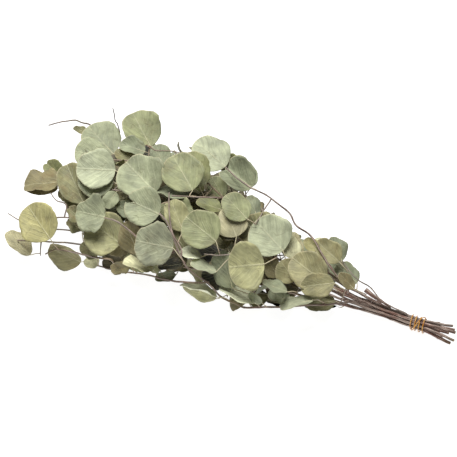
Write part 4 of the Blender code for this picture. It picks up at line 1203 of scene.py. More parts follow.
def new_growth(name, inputs):
    """A Geometry Nodes tree with named inputs, and its input node."""
    tree = bpy.data.node_groups.new(name, "GeometryNodeTree")
    tree.interface.new_socket("Geometry", in_out="OUTPUT", socket_type="NodeSocketGeometry")
    tree.interface.new_socket("Geometry", in_out="INPUT", socket_type="NodeSocketGeometry")
    for label, kind in inputs:
        tree.interface.new_socket(label, in_out="INPUT", socket_type=kind)
    return tree, add(tree, "NodeGroupInput")


# Finishes

# How many pairs of side veins a blade has, and how far they slant towards its tip
VEIN_COUNT = 6
VEIN_SLOPE = 0.7


def leaf_finish():
    """Dried leaf under a waxy bloom: papery and matt, its greens pale, with fine raised veins.

    The side veins of the real one are 0.3 mm wide, too fine to show. They are drawn 1 mm wide.
    """
    material, tree, shader = new_finish(
        "dried leaf with waxy bloom", Sheen_Weight=0.12, Sheen_Roughness=0.5)
    place = add(tree, "ShaderNodeTexCoord").outputs["Object"]
    tint = stored(tree, "tint", "Color")
    turned = stored(tree, "turned")
    plan = add(tree, "ShaderNodeSeparateXYZ", [add(tree, "ShaderNodeUVMap", uv_map="blade")])
    across = calc(tree, "MULTIPLY_ADD", plan.outputs[0], 2.0, -1.0)
    aside = calc(tree, "ABSOLUTE", across)
    # Veins: the midrib, and pairs of side veins that slant towards the tip
    wander = clouded(tree, place, 90.0, 1.0)
    wavy = calc(tree, "MULTIPLY_ADD", wander, 0.16, plan.outputs[1])
    slanted = calc(tree, "MULTIPLY_ADD", aside, -VEIN_SLOPE, wavy)
    counted = calc(tree, "MULTIPLY", slanted, float(VEIN_COUNT))
    comb = calc(tree, "PINGPONG", counted, 0.5)
    side_veins = eased(tree, comb, 0.36, 0.5, 0.0, 0.55)
    faded = ranged(tree, aside, 0.2, 0.9, 1.0, 0.0)
    side_veins = calc(tree, "MULTIPLY", side_veins, faded)
    midrib = eased(tree, aside, 0.0, 0.06, 0.8, 0.0)
    veins = calc(tree, "MAXIMUM", side_veins, midrib)
    # Colour: clouds 20 mm wide, brown patches on the leaves that have turned, then 1 mm grain
    clouds = clouded(tree, place, 55.0, 4.0)
    shade = ranged(tree, clouds, 0.3, 0.7, 0.68, 1.26)
    body = shaded(tree, tint, shade)
    stains = clouded(tree, place, 70.0, 4.0, 0.6)
    stained = ranged(tree, stains, 0.5, 0.72, 0.0, 0.6)
    stained = calc(tree, "MULTIPLY", stained, turned)
    body = mixed(tree, stained, body, colour("#86734a"))
    grain = clouded(tree, place, 900.0, 2.0)
    grainy = ranged(tree, grain, 0.25, 0.75, 0.93, 1.05)
    body = shaded(tree, body, grainy)
    paler = calc(tree, "MULTIPLY", veins, 0.3)
    body = mixed(tree, paler, body, colour("#d5d3ae"))
    # Streaks along the side veins, where the blade dried lighter and darker
    own_place = add(tree, "ShaderNodeSeparateXYZ", [place])
    apart = calc(tree, "MULTIPLY", own_place.outputs[0], 30.0)
    wide = calc(tree, "MULTIPLY", across, 1.6)
    narrow = calc(tree, "MULTIPLY", slanted, 13.0)
    streak_place = add(tree, "ShaderNodeCombineXYZ", [wide, narrow, apart])
    streaks = clouded(tree, streak_place, 1.0, 3.0)
    streaky = ranged(tree, streaks, 0.3, 0.7, 0.8, 1.16)
    body = shaded(tree, body, streaky)
    # Creases: a few thin lines where the blade puckered as it dried, sunk in the relief and darkened in
    # colour as painted shade
    puckers = clouded(tree, place, 42.0, 2.0, 0.5)
    crease = calc(tree, "SUBTRACT", puckers, 0.5)
    crease = calc(tree, "ABSOLUTE", crease)
    crease = eased(tree, crease, 0.0, 0.025, 1.0, 0.0)
    here = ranged(tree, stains, 0.45, 0.6, 0.0, 0.3)
    crease_and_shade = calc(tree, "MULTIPLY", crease, here)
    body = mixed(tree, crease_and_shade, body, colour("#5f5a3c"))
    # The edge, a thin paler rim that has dried a little pink
    along = calc(tree, "MULTIPLY_ADD", plan.outputs[1], 2.0, -1.0)
    round_place = add(tree, "ShaderNodeCombineXYZ", [across, along])
    out = add(tree, "ShaderNodeVectorMath", [round_place], operation="LENGTH").outputs["Value"]
    rim = eased(tree, out, 0.965, 1.0, 0.0, 0.4)
    body = mixed(tree, rim, body, colour("#c8bb98"))
    # Gloss and relief
    rough = ranged(tree, clouds, 0.3, 0.7, 0.58, 0.7)
    tree.links.new(rough.outputs[0], shader.inputs["Roughness"])
    blisters = clouded(tree, place, 150.0, 3.0)
    relief = calc(tree, "MULTIPLY_ADD", blisters, 1.6, veins)
    relief = calc(tree, "MULTIPLY_ADD", crease_and_shade, -1.5, relief)
    relief = calc(tree, "MULTIPLY_ADD", streaks, 0.8, relief)
    dress(tree, shader, body, relief, 0.75, 0.6 * MM)
    return material


def stalk_finish():
    """Dried leaf stalk: smooth and cream at the blade, pinkish brown towards the twig."""
    material, tree, shader = new_finish("dried leaf stalk", Roughness=0.55)
    tone = stored(tree, "tone")
    run = stored(tree, "run")
    streaks = banded(tree, run, 120.0)
    body = mixed(tree, tone, colour("#cdc6a2"), colour("#a78f7c"))
    shade = ranged(tree, streaks, 0.3, 0.7, 0.85, 1.1)
    body = shaded(tree, body, shade)
    dress(tree, shader, body, streaks, 0.3, 0.2 * MM)
    return material


def bark_finish():
    """Dried bark of young wood: thin, wrinkled lengthwise, purple-brown with red patches, pink on the
    wrinkles' ridges and dark in their grooves. The pink is partly the bark's own and partly painted
    highlight, and the dark is painted shade.

    The wrinkles of the real one are 1 mm wide. They are drawn 2 mm wide and 20 mm long, to
    show. The bark greys towards the twigs' ends.
    """
    material, tree, shader = new_finish("dried eucalyptus bark", Roughness=0.6)
    place = add(tree, "ShaderNodeTexCoord").outputs["Object"]
    tone = stored(tree, "tone")
    run = stored(tree, "run")
    around = stored(tree, "around", "Vector")
    around = add(tree, "ShaderNodeSeparateXYZ", [around])
    wide = calc(tree, "MULTIPLY", around.outputs[0], 1.5)
    deep = calc(tree, "MULTIPLY", around.outputs[1], 1.5)
    lengthwise = calc(tree, "MULTIPLY", run, 55.0)
    fibre_place = add(tree, "ShaderNodeCombineXYZ", [wide, deep, lengthwise])
    fibres = clouded(tree, fibre_place, 1.0, 3.0)
    patches = clouded(tree, place, 55.0, 2.0)
    body = mixed(tree, tone, colour("#644b3f"), colour("#8f857a"))
    old = calc(tree, "SUBTRACT", 0.9, tone)
    old = calc(tree, "MAXIMUM", old, 0.0)
    red = ranged(tree, patches, 0.46, 0.64, 0.0, 0.85)
    red = calc(tree, "MULTIPLY", red, old)
    body = mixed(tree, red, body, colour("#7f4e3e"))
    faded = clouded(tree, place, 17.0, 1.0)
    faded = ranged(tree, faded, 0.52, 0.66, 0.0, 0.65)
    body = mixed(tree, faded, body, colour("#857651"))
    # Pink on the wrinkles' ridges: partly the bark's own pink, partly painted highlight
    pink = ranged(tree, fibres, 0.51, 0.64, 0.0, 0.9)
    young = ranged(tree, tone, 0.3, 1.0, 1.0, 0.35)
    pink = calc(tree, "MULTIPLY", pink, young)
    body = mixed(tree, pink, body, colour("#c6b3a4"))
    # Dark in the wrinkles' grooves: painted shade
    dark = ranged(tree, fibres, 0.32, 0.48, 0.85, 0.0)
    body = mixed(tree, dark, body, colour("#37281f"))
    dress(tree, shader, body, fibres, 0.6, 0.5 * MM)
    return material


def cut_wood_finish():
    """Wood where the stems were cut: pale, dry and matt, with fine grain a millimetre wide."""
    material, tree, shader = new_finish("cut eucalyptus wood", Roughness=0.8)
    place = add(tree, "ShaderNodeTexCoord").outputs["Object"]
    fibres = clouded(tree, place, 1100.0, 3.0)
    factor = ranged(tree, fibres, 0.3, 0.7, 0.0, 1.0)
    body = mixed(tree, factor, colour("#8d7a55"), colour("#b5a37c"))
    dress(tree, shader, body, fibres, 0.5, 0.3 * MM)
    return material


def elastic_finish():
    """Extruded rubber elastic: orange-yellow right through, with a soft low gloss."""
    material, tree, shader = new_finish("extruded rubber elastic", Roughness=0.42, IOR=1.52)
    run = stored(tree, "run")
    stretch = banded(tree, run, 160.0)
    factor = ranged(tree, stretch, 0.3, 0.7, 0.0, 1.0)
    body = mixed(tree, factor, colour("#c08028"), colour("#dcaa5a"))
    dress(tree, shader, body, stretch, 0.3, 0.2 * MM)
    return material


# Growth by Geometry Nodes

# What a leaf table holds of each leaf
LEAF_VECTORS = ("base", "along", "side", "face")
LEAF_NUMBERS = (
    "length", "width", "flare", "fold", "curl", "roll", "wave", "ripple", "notch", "gap", "phase", "turned",
)
# Along a blade, in radians: the outline's ripple, the edge's wave, and the finer nibbles of
# the outline. Then the nibbles' share of the ripple, and how near the tip the notch stays
RIPPLE_TURNS = 9.0
WAVE_TURNS = 8.0
NIBBLE_TURNS = 23.0
NIBBLE_SHARE = 0.35
NOTCH_NEARNESS = 9.0


def blade_growth():
    """Blades, one for each row of a leaf table, each bent to its row's own form.

    A blade starts as its plan: across, along and through the leaf are the plan's x, y and z.
    """
    tree, given = new_growth("leaf blades", (
        ("Plan", "NodeSocketObject"), ("Thickness", "NodeSocketFloat"), ("Crinkle", "NodeSocketFloat"),
        ("Finish", "NodeSocketMaterial"),
    ))
    plan = add(tree, "GeometryNodeObjectInfo", {"Object": given.outputs["Plan"]}).outputs["Geometry"]
    spots = given.outputs["Geometry"]
    placed = add(tree, "GeometryNodeInstanceOnPoints", {"Points": spots, "Instance": plan})
    blades = add(tree, "GeometryNodeRealizeInstances", {"Geometry": placed})
    own = {}
    for name in LEAF_VECTORS:
        own[name] = add(tree, "GeometryNodeInputNamedAttribute", {"Name": name}, data_type="FLOAT_VECTOR")
    for name in LEAF_NUMBERS:
        own[name] = add(tree, "GeometryNodeInputNamedAttribute", {"Name": name}, data_type="FLOAT")
    at = add(tree, "ShaderNodeSeparateXYZ", [add(tree, "GeometryNodeInputPosition")])
    # The outline: half the width, wider towards the base by the flare, uneven by the ripple
    facing = calc(tree, "MULTIPLY_ADD", at.outputs[1], -2.0, 1.0)
    flared = calc(tree, "MULTIPLY_ADD", facing, own["flare"], 1.0)
    half = calc(tree, "MULTIPLY", own["width"], 0.5)
    half = calc(tree, "MULTIPLY", half, flared)
    turning = calc(tree, "MULTIPLY_ADD", at.outputs[1], RIPPLE_TURNS, own["phase"])
    turning = calc(tree, "MULTIPLY_ADD", at.outputs[0], 2.0, turning)
    uneven = calc(tree, "SINE", turning)
    nibbled = calc(tree, "MULTIPLY_ADD", at.outputs[1], NIBBLE_TURNS, turning)
    nibbled = calc(tree, "SINE", nibbled)
    uneven = calc(tree, "MULTIPLY_ADD", nibbled, NIBBLE_SHARE, uneven)
    uneven = calc(tree, "MULTIPLY_ADD", uneven, own["ripple"], 1.0)
    half = calc(tree, "MULTIPLY", half, uneven)
    spread = calc(tree, "MULTIPLY", at.outputs[0], half)
    # The notch, which draws the middle of the tip back towards the base
    off_middle = calc(tree, "ABSOLUTE", at.outputs[0])
    deepest = ranged(tree, off_middle, 0.0, own["gap"], 1.0, 0.0)
    near_tip = calc(tree, "POWER", at.outputs[1], NOTCH_NEARNESS)
    deepest = calc(tree, "MULTIPLY", deepest, near_tip)
    deepest = calc(tree, "MULTIPLY", deepest, own["notch"])
    share = calc(tree, "SUBTRACT", at.outputs[1], deepest)
    # The roll across the leaf, which keeps its width
    angle = calc(tree, "MULTIPLY", spread, own["roll"])
    sine = calc(tree, "SINE", angle)
    across = calc(tree, "DIVIDE", sine, own["roll"])
    cosine = calc(tree, "COSINE", angle)
    cosine = calc(tree, "SUBTRACT", 1.0, cosine)
    lift = calc(tree, "DIVIDE", cosine, own["roll"])
    # The fold at the midrib, the curl along it and the waved edge
    aside = calc(tree, "ABSOLUTE", spread)
    lift = calc(tree, "MULTIPLY_ADD", aside, own["fold"], lift)
    reach = calc(tree, "MULTIPLY", share, own["length"])
    curled = calc(tree, "MULTIPLY", reach, share)
    curled = calc(tree, "MULTIPLY", curled, own["curl"])
    lift = calc(tree, "SUBTRACT", lift, curled)
    turning = calc(tree, "MULTIPLY_ADD", at.outputs[1], WAVE_TURNS, own["phase"])
    turning = calc(tree, "MULTIPLY_ADD", at.outputs[0], 1.4, turning)
    waved = calc(tree, "SINE", turning)
    waved = calc(tree, "MULTIPLY", waved, own["wave"])
    edge = calc(tree, "POWER", at.outputs[0], 2.0)
    edge = calc(tree, "MULTIPLY_ADD", edge, 0.8, 0.2)
    lift = calc(tree, "MULTIPLY_ADD", waved, edge, lift)
    # The crinkles, which leave the midrib straight
    spot = add(tree, "ShaderNodeCombineXYZ", [spread, reach, own["phase"]])
    crinkled = clouded(tree, spot, 65.0, 1.0)
    crinkled = calc(tree, "SUBTRACT", crinkled, 0.5)
    crinkled = calc(tree, "MULTIPLY", crinkled, given.outputs["Crinkle"])
    off_midrib = ranged(tree, off_middle, 0.0, 0.35, 0.0, 1.0)
    lift = calc(tree, "MULTIPLY_ADD", crinkled, off_midrib, lift)
    through = calc(tree, "MULTIPLY", given.outputs["Thickness"], 0.5)
    lift = calc(tree, "MULTIPLY_ADD", at.outputs[2], through, lift)
    # From the leaf's own axes into the bunch, and kept on the table
    place = scaled(tree, own["along"], reach)
    place = add(tree, "ShaderNodeVectorMath", [place, own["base"]], operation="ADD")
    sideways = scaled(tree, own["side"], across)
    place = add(tree, "ShaderNodeVectorMath", [place, sideways], operation="ADD")
    raised = scaled(tree, own["face"], lift)
    place = add(tree, "ShaderNodeVectorMath", [place, raised], operation="ADD")
    place = add(tree, "ShaderNodeSeparateXYZ", [place])
    height = calc(tree, "MAXIMUM", place.outputs[2], 0.1 * MM)
    place = add(tree, "ShaderNodeCombineXYZ", [place.outputs[0], place.outputs[1], height])
    bent = add(tree, "GeometryNodeSetPosition", {"Geometry": blades, "Position": place})
    smooth = add(tree, "GeometryNodeSetShadeSmooth", {"Geometry": bent})
    whole = add(tree, "GeometryNodeRealizeInstances", {"Geometry": smooth})
    done = add(tree, "GeometryNodeSetMaterial", {"Geometry": whole, "Material": given.outputs["Finish"]})
    add(tree, "NodeGroupOutput", [done])
    return tree


def tube_growth():
    """Round tubes along paths, with swollen joints and small lumps, kept on the table."""
    tree, given = new_growth("stems and stalks", (
        ("Ring spacing", "NodeSocketFloat"), ("Sides", "NodeSocketInt"), ("Joint spacing", "NodeSocketFloat"),
        ("Joint swelling", "NodeSocketFloat"), ("Lumps", "NodeSocketFloat"), ("Stray", "NodeSocketFloat"),
        ("Seed", "NodeSocketFloat"), ("Finish", "NodeSocketMaterial"),
    ))
    paths = add(tree, "GeometryNodeMeshToCurve", [given.outputs["Geometry"]])
    paths = add(tree, "GeometryNodeCurveSplineType", [paths], spline_type="CATMULL_ROM")
    spacing = given.outputs["Ring spacing"]
    paths = add(tree, "GeometryNodeResampleCurve", {"Curve": paths, "Length": spacing}, mode="LENGTH")
    run = add(tree, "GeometryNodeSplineParameter").outputs["Length"]
    paths = add(tree, "GeometryNodeStoreNamedAttribute", {
        "Geometry": paths, "Name": "run", "Value": run}, data_type="FLOAT", domain="POINT")
    # Wood is never straight: its path strays a little, each stem's in its own way
    stray = add(tree, "ShaderNodeTexNoise", {
        "W": given.outputs["Seed"], "Scale": 40.0, "Detail": 2.0}, noise_dimensions="4D").outputs["Color"]
    stray = add(tree, "ShaderNodeVectorMath", [stray, (0.5, 0.5, 0.5)], operation="SUBTRACT")
    stray = scaled(tree, stray, given.outputs["Stray"])
    paths = add(tree, "GeometryNodeSetPosition", {"Geometry": paths, "Offset": stray})
    # The thickness: the path's own, swollen at the joints, and lumpy
    girth = add(tree, "GeometryNodeInputNamedAttribute", {"Name": "girth"}, data_type="FLOAT")
    half_gap = calc(tree, "MULTIPLY", given.outputs["Joint spacing"], 0.5)
    between = calc(tree, "PINGPONG", run, half_gap)
    between = calc(tree, "DIVIDE", between, half_gap)
    swollen = eased(tree, between, 0.86, 1.0, 0.0, 1.0)
    tone = add(tree, "GeometryNodeInputNamedAttribute", {"Name": "tone"}, data_type="FLOAT")
    young = calc(tree, "SUBTRACT", 1.1, tone)
    swelling = calc(tree, "MULTIPLY", given.outputs["Joint swelling"], young)
    swollen = calc(tree, "MULTIPLY_ADD", swollen, swelling, 1.0)
    lumps = add(tree, "ShaderNodeTexNoise", {"Scale": 170.0, "Detail": 2.0})
    lumps = calc(tree, "SUBTRACT", lumps, 0.5)
    swollen = calc(tree, "MULTIPLY_ADD", lumps, given.outputs["Lumps"], swollen)
    girth = calc(tree, "MULTIPLY", girth, swollen)
    # The round profile, whose own points tell the bark which side it is on
    sides = given.outputs["Sides"]
    profile = add(tree, "GeometryNodeCurvePrimitiveCircle", {"Resolution": sides, "Radius": 1.0})
    corner = add(tree, "GeometryNodeInputPosition")
    profile = add(tree, "GeometryNodeStoreNamedAttribute", {
        "Geometry": profile, "Name": "around", "Value": corner}, data_type="FLOAT_VECTOR", domain="POINT")
    tubes = add(tree, "GeometryNodeCurveToMesh", {
        "Curve": paths, "Profile Curve": profile, "Scale": girth, "Fill Caps": True})
    at = add(tree, "ShaderNodeSeparateXYZ", [add(tree, "GeometryNodeInputPosition")])
    height = calc(tree, "MAXIMUM", at.outputs[2], 0.0)
    place = add(tree, "ShaderNodeCombineXYZ", [at.outputs[0], at.outputs[1], height])
    tubes = add(tree, "GeometryNodeSetPosition", {"Geometry": tubes, "Position": place})
    smooth = add(tree, "GeometryNodeSetShadeSmooth", {"Geometry": tubes})
    whole = add(tree, "GeometryNodeRealizeInstances", {"Geometry": smooth})
    done = add(tree, "GeometryNodeSetMaterial", {"Geometry": whole, "Material": given.outputs["Finish"]})
    add(tree, "NodeGroupOutput", [done])
    return tree


def grown(name, source, tree, values):
    """A piece of plain mesh: what a tree makes of a source mesh."""
    piece = bpy.data.objects.new(name, source)
    bpy.context.scene.collection.objects.link(piece)
    growth = piece.modifiers.new("Growth", "NODES")
    growth.node_group = tree
    for item in tree.interface.items_tree:
        if item.in_out == "INPUT" and item.name in values:
            growth[item.identifier] = values[item.name]
    evaluated = piece.evaluated_get(bpy.context.evaluated_depsgraph_get())
    mesh = bpy.data.meshes.new_from_object(evaluated)
    piece.modifiers.remove(growth)
    piece.data = mesh
    mesh.name = name
    return piece


# Source meshes for the growth

def blade_plan():
    """One blade's plan, a thin closed disc: x across from -1 to 1, y along from 0 to 1, z through."""
    mesh = bpy.data.meshes.new("blade_plan")
    work = bmesh.new()
    rows = {}
    for through in (1, -1):
        for row in range(BLADE_ROWS + 1):
            turn = math.pi * row / BLADE_ROWS
            along = (1 - math.cos(turn)) / 2 + (TIP_POINT if row == BLADE_ROWS else 0.0)
            columns = range(BLADE_COLUMNS + 1) if 0 < row < BLADE_ROWS else range(1)
            for column in columns:
                share = 2 * column / BLADE_COLUMNS - 1 if 0 < row < BLADE_ROWS else 0.0
                nearness = abs(share) ** EDGE_NEARNESS if 0 < row < BLADE_ROWS else 1.0
                thinned = 1 - EDGE_THINNING * nearness
                fullness = BASE_TAPER if turn < math.pi / 2 else TIP_ROUNDNESS
                place = (share * math.sin(turn) ** fullness, along, through * thinned)
                rows[through, row, column] = work.verts.new(place)
    last = BLADE_COLUMNS
    for through in (1, -1):
        for row in range(BLADE_ROWS):
            for column in range(BLADE_COLUMNS):
                if row == 0:
                    corners = [(0, 0), (1, column), (1, column + 1)]
                elif row == BLADE_ROWS - 1:
                    corners = [(row, column), (row + 1, 0), (row, column + 1)]
                else:
                    corners = [(row, column), (row + 1, column), (row + 1, column + 1), (row, column + 1)]
                work.faces.new([rows[through, *corner] for corner in corners])
    outline = [(0, 0)] + [(row, 0) for row in range(1, BLADE_ROWS)] + [(BLADE_ROWS, 0)]
    outline += [(row, last) for row in range(BLADE_ROWS - 1, 0, -1)]
    for here, there in zip(outline, outline[1:] + outline[:1]):
        work.faces.new([rows[1, *here], rows[1, *there], rows[-1, *there], rows[-1, *here]])
    bmesh.ops.recalc_face_normals(work, faces=work.faces)
    # A leaf's side, length and face are left-handed axes, so the plan's faces start turned over
    bmesh.ops.reverse_faces(work, faces=work.faces)
    layer = work.loops.layers.uv.new("blade")
    for face in work.faces:
        for loop in face.loops:
            loop[layer].uv = ((loop.vert.co.x + 1) / 2, loop.vert.co.y)
    work.to_mesh(mesh)
    work.free()
    return bpy.data.objects.new("blade_plan", mesh)


def store(mesh, name, kind, values):
    """Give a mesh's points an attribute."""
    width = {"FLOAT": "value", "FLOAT_VECTOR": "vector", "FLOAT_COLOR": "color"}[kind]
    flat = values if kind == "FLOAT" else [number for value in values for number in value]
    mesh.attributes.new(name, kind, "POINT").data.foreach_set(width, flat)


def leaf_table(name, leaves, noise):
    """A mesh of one point for each leaf, which holds how the leaf lies and how it dried."""
    mesh = bpy.data.meshes.new(name)
    mesh.from_pydata([(0, 0, 0)] * len(leaves), [], [])
    for key in LEAF_VECTORS:
        store(mesh, key, "FLOAT_VECTOR", [getattr(leaf, key) for leaf in leaves])
    rows = {key: [] for key in LEAF_NUMBERS}
    tints = []
    for leaf in leaves:
        habit = HABITS[leaf.habit]
        tint, turned = LEAF_TINTS[leaf.tint]
        rows["length"].append(leaf.length * LEAF_FULLNESS)
        rows["width"].append(leaf.width * LEAF_FULLNESS)
        rows["flare"].append(leaf.flare)
        rows["fold"].append(leaf.fold + habit.fold)
        rows["curl"].append(leaf.curl)
        rows["roll"].append(habit.roll * noise.uniform(0.7, 1.3))
        rows["wave"].append(habit.wave * MM * noise.uniform(0.7, 1.4))
        rows["ripple"].append(habit.ripple * noise.uniform(0.6, 1.4))
        rows["notch"].append(habit.notch * noise.uniform(0.8, 1.2))
        rows["gap"].append(habit.gap)
        rows["phase"].append(noise.uniform(0, 2 * math.pi))
        rows["turned"].append(turned * noise.uniform(0.6, 1.2))
        bright = noise.uniform(0.94, 1.06)
        tints.append([channel * bright for channel in colour(tint)[:3]] + [1.0])
    for key, values in rows.items():
        store(mesh, key, "FLOAT", values)
    store(mesh, "tint", "FLOAT_COLOR", tints)
    return mesh


def path_mesh(name, paths):
    """A mesh of open paths, whose points hold how thick and how young the growth is there."""
    mesh = bpy.data.meshes.new(name)
    points, edges, girths, tones = [], [], [], []
    for places, path_girths, path_tones in paths:
        edges += [(len(points) + i, len(points) + i + 1) for i in range(len(places) - 1)]
        points += [tuple(place) for place in places]
        girths += path_girths
        tones += path_tones
    mesh.from_pydata(points, edges, [])
    store(mesh, "girth", "FLOAT", girths)
    store(mesh, "tone", "FLOAT", tones)
    return mesh


# Bark from its root to its tip: its tone, which is 0 where it is old and brown and 1 where
# it is young and grey, and its thickness against its solid's
Wood = namedtuple("Wood", "tone tip_tone fineness tip_fineness")
TWIG_WOOD = Wood(0.7, 1.0, TWIG_FINENESS, TWIG_TIP_FINENESS)
LONG_TWIG_WOOD = Wood(0.35, 0.75, LONG_TWIG_FINENESS, LONG_TWIG_TIP_FINENESS)
STUB_WOOD = Wood(0.0, 0.2, TWIG_FINENESS, TWIG_TIP_FINENESS)

# How far each stem has greyed at its foot, and all of them at their tips
STEM_TONES = (0.1, 0.5, 0.0, 0.35, 0.0, 0.6, 0.15, 0.4, 0.05)
STEM_TIP_TONE = 0.7
TONE_POWER = 1.5


def bundle_axis(bunch):
    """The middle of the bundle of stems, at each of the places that all the stems pass."""
    routes = [shoot.points for shoot in bunch.shoots if shoot.kind == "stem"]
    shortest = min(len(route) for route in routes)
    return [sum((route[count] for route in routes), Vector()) / len(routes) for count in range(shortest)]


def drawn_in(place, radius, axis):
    """A place on a stem as the tie holds it: closer at the tie, fanned out at the cut ends."""
    out = place.x - TIE_MIDDLE.x
    hold = 1 - TIE_HOLD * math.exp(-(out / TIE_HOLD_REACH) ** 2)
    hold *= 1 - NECK_HOLD * math.exp(-((out - NECK_PLACE) / NECK_REACH) ** 2)
    hold *= 1 + CUT_FAN * max(0.0, out) / CUT_FAN_LENGTH
    middle = axis[0]
    for here, there in zip(axis, axis[1:]):
        if there.x <= place.x <= here.x:
            middle = here.lerp(there, (here.x - place.x) / (here.x - there.x))
    if place.x < axis[-1].x:
        return place
    across = middle.y + (place.y - middle.y) * hold
    height = middle.z + (place.z - middle.z) * hold + CUT_RISE * max(0.0, out) / CUT_FAN_LENGTH
    return Vector((place.x, across, max(height, radius)))


def is_stub(shoot):
    """Whether a shoot is the thick stub near the tie."""
    return shoot.kind != "stem" and shoot.radii[0] > STUB_RADIUS


def wood_of(shoot):
    """How a shoot's bark and thickness run from its root to its tip."""
    if shoot.kind == "stem":
        return Wood(STEM_TONES[shoot.stem], STEM_TIP_TONE, STEM_FINENESS, STEM_TIP_FINENESS)
    if is_stub(shoot):
        return STUB_WOOD
    if (shoot.points[-1] - shoot.points[0]).length > LONG_TWIG:
        return LONG_TWIG_WOOD
    return TWIG_WOOD


def shoot_girths(shoot, wood):
    """A shoot's half widths: finer than its solid, but the stub and the tie's twig have their own."""
    last = len(shoot.points) - 1
    if is_stub(shoot):
        return [STUB_ROOT_GIRTH] + [STUB_GIRTH] * (last - 1) + [STUB_KNOB_GIRTH]
    if shoot.kind != "stem" and shoot.points[0].x > TIE_TWIG_PLACE:
        return [TIE_TWIG_GIRTH] * (last + 1)
    girths = []
    for count, radius in enumerate(shoot.radii):
        fineness = wood.fineness + (wood.tip_fineness - wood.fineness) * count / last
        girths.append(max(radius * fineness, FINEST_GIRTH))
    return girths


def stem_path(shoot, axis):
    """A stem or twig: its route, its half widths, and bark that greys along it.

    A stem is drawn in by the tie. A twig is at its root only, and free from halfway on.
    """
    last = len(shoot.points) - 1
    wood = wood_of(shoot)
    girths = shoot_girths(shoot, wood)
    places, tones = [], []
    for count, (point, girth) in enumerate(zip(shoot.points, girths)):
        tones.append(wood.tone + (wood.tip_tone - wood.tone) * (count / last) ** TONE_POWER)
        freed = 0.0 if shoot.kind == "stem" else min(1.0, 2 * count / last)
        places.append(drawn_in(point, girth, axis).lerp(point, freed))
    return places, girths, tones


def stalk_path(leaf, axis):
    """A leaf's stalk from its twig to the blade, and on as the midrib."""
    rise = leaf.face * (STALK_BOW * (leaf.base - leaf.root).length)
    root = drawn_in(leaf.root, STALK_GIRTH, axis)
    places = [root, root.lerp(leaf.base, 0.5) + rise, leaf.base]
    girths = [STALK_GIRTH * share for share in STALK_SHARES]
    tones = list(STALK_TONES)
    for count in range(1, MIDRIB_STEPS + 1):
        share = MIDRIB_REACH * count / MIDRIB_STEPS
        curled = leaf.face * (leaf.curl * leaf.length * share ** 2)
        place = leaf.base + leaf.along * (leaf.length * share) - curled
        place.z = max(place.z, LOWEST_BLADE)
        places.append(place)
        thinned = (count - 1) / (MIDRIB_STEPS - 1)
        girths.append(MIDRIB_GIRTH + (MIDRIB_END_GIRTH - MIDRIB_GIRTH) * thinned)
        tones.append(0.0)
    return places, girths, tones


def cut_end_path(shoot, axis):
    """The bare wood that shows at a stem's cut end."""
    end, before = [drawn_in(point, shoot.radii[0], axis) for point in shoot.points[:2]]
    out = (end - before).normalized()
    places = [end - out * CUT_WOOD_START, end + out * CUT_WOOD_END]
    return places, [shoot.radii[0] * STEM_FINENESS * CUT_WOOD_SHARE] * 2, [0.0, 0.0]


def bud_paths(own, noise):
    """Small dry buds, crowded at the foot of the one leaf where the picture shows them."""
    paths = []
    for leaf in own:
        u, v = picture_place(leaf.base)
        if math.hypot(u - BUDS_U, v - BUDS_V) > BUDS_NEARNESS:
            continue
        for _ in range(BUD_COUNT):
            way = Vector([noise.gauss(0, 1) for _ in range(3)]).normalized() + BACK * 0.8
            start = leaf.base + BACK * BUDS_NEARER
            start += RIGHT * noise.uniform(*BUDS_ASIDE) + UP * noise.uniform(*BUDS_UP)
            end = start + way * noise.uniform(*BUD_LENGTHS)
            places = [leaf.base, start, start.lerp(end, 0.6), end]
            paths.append((places, BUD_GIRTHS, BUD_TONES))
    return paths


def tie_paths():
    """The elastic: four turns round the bundle, and one that crosses back over them."""
    radius = RING_RADIUS * math.cos(math.pi / TIE_STEPS) * (1 - TIE_HOLD)
    # The second turn passes under the bundle right at the origin
    shift = -(2 * ((TIE_TURNS // 2 - 1) + TIE_UNDER) / TIE_TURNS - 1) * TIE_HALF_WIDTH
    step = 2 * math.pi / TURN_STEPS
    wound, crossing = [], []
    for count in range(TURN_STEPS * TIE_TURNS + 1):
        angle = TIE_START + step * count
        along = (2 * count / (TURN_STEPS * TIE_TURNS) - 1) * TIE_HALF_WIDTH + shift
        wound.append(TIE_MIDDLE + Vector((along, radius * math.cos(angle), radius * math.sin(angle))))
    for count in range(-2, TURN_STEPS + 3):
        share = count / TURN_STEPS
        lift = radius + CROSSING_LIFT + CROSSING_RISE * max(0.0, math.sin(math.pi * share)) ** CROSSING_ROUND
        angle = TIE_START + step * count
        along = (1 - 2 * share) * TIE_HALF_WIDTH + shift
        crossing.append(TIE_MIDDLE + Vector((along, lift * math.cos(angle), lift * math.sin(angle))))
    return [(path, [STRAND_WIDTH / 2] * len(path), [0.0] * len(path)) for path in (wound, crossing)]


# Pieces

def place_piece(piece, node):
    """The piece rides with the bunch and stands for a node of the solids."""
    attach(piece, "root")
    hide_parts(node)


def leaf_depth(leaf):
    """How near the viewer the outer form is over a leaf's middle, and how deep that lies."""
    middle = leaf.base + leaf.along * (leaf.length / 2)
    surface = surface_nearness(*picture_place(middle))
    return surface, surface - (middle - PICTURE_POINT).dot(BACK)


def is_deep(leaf):
    """Whether a leaf lies well inside the bunch, clear of the shown leaves' bends."""
    return leaf_depth(leaf)[1] > EXTRA_DEPTH


def is_core(leaf):
    """Whether a leaf lies in the middle of the bunch, where its tint is darkened as painted shade."""
    surface, depth = leaf_depth(leaf)
    return surface > CORE_SURFACE and EXTRA_DEPTH < depth < CORE_DEPTH


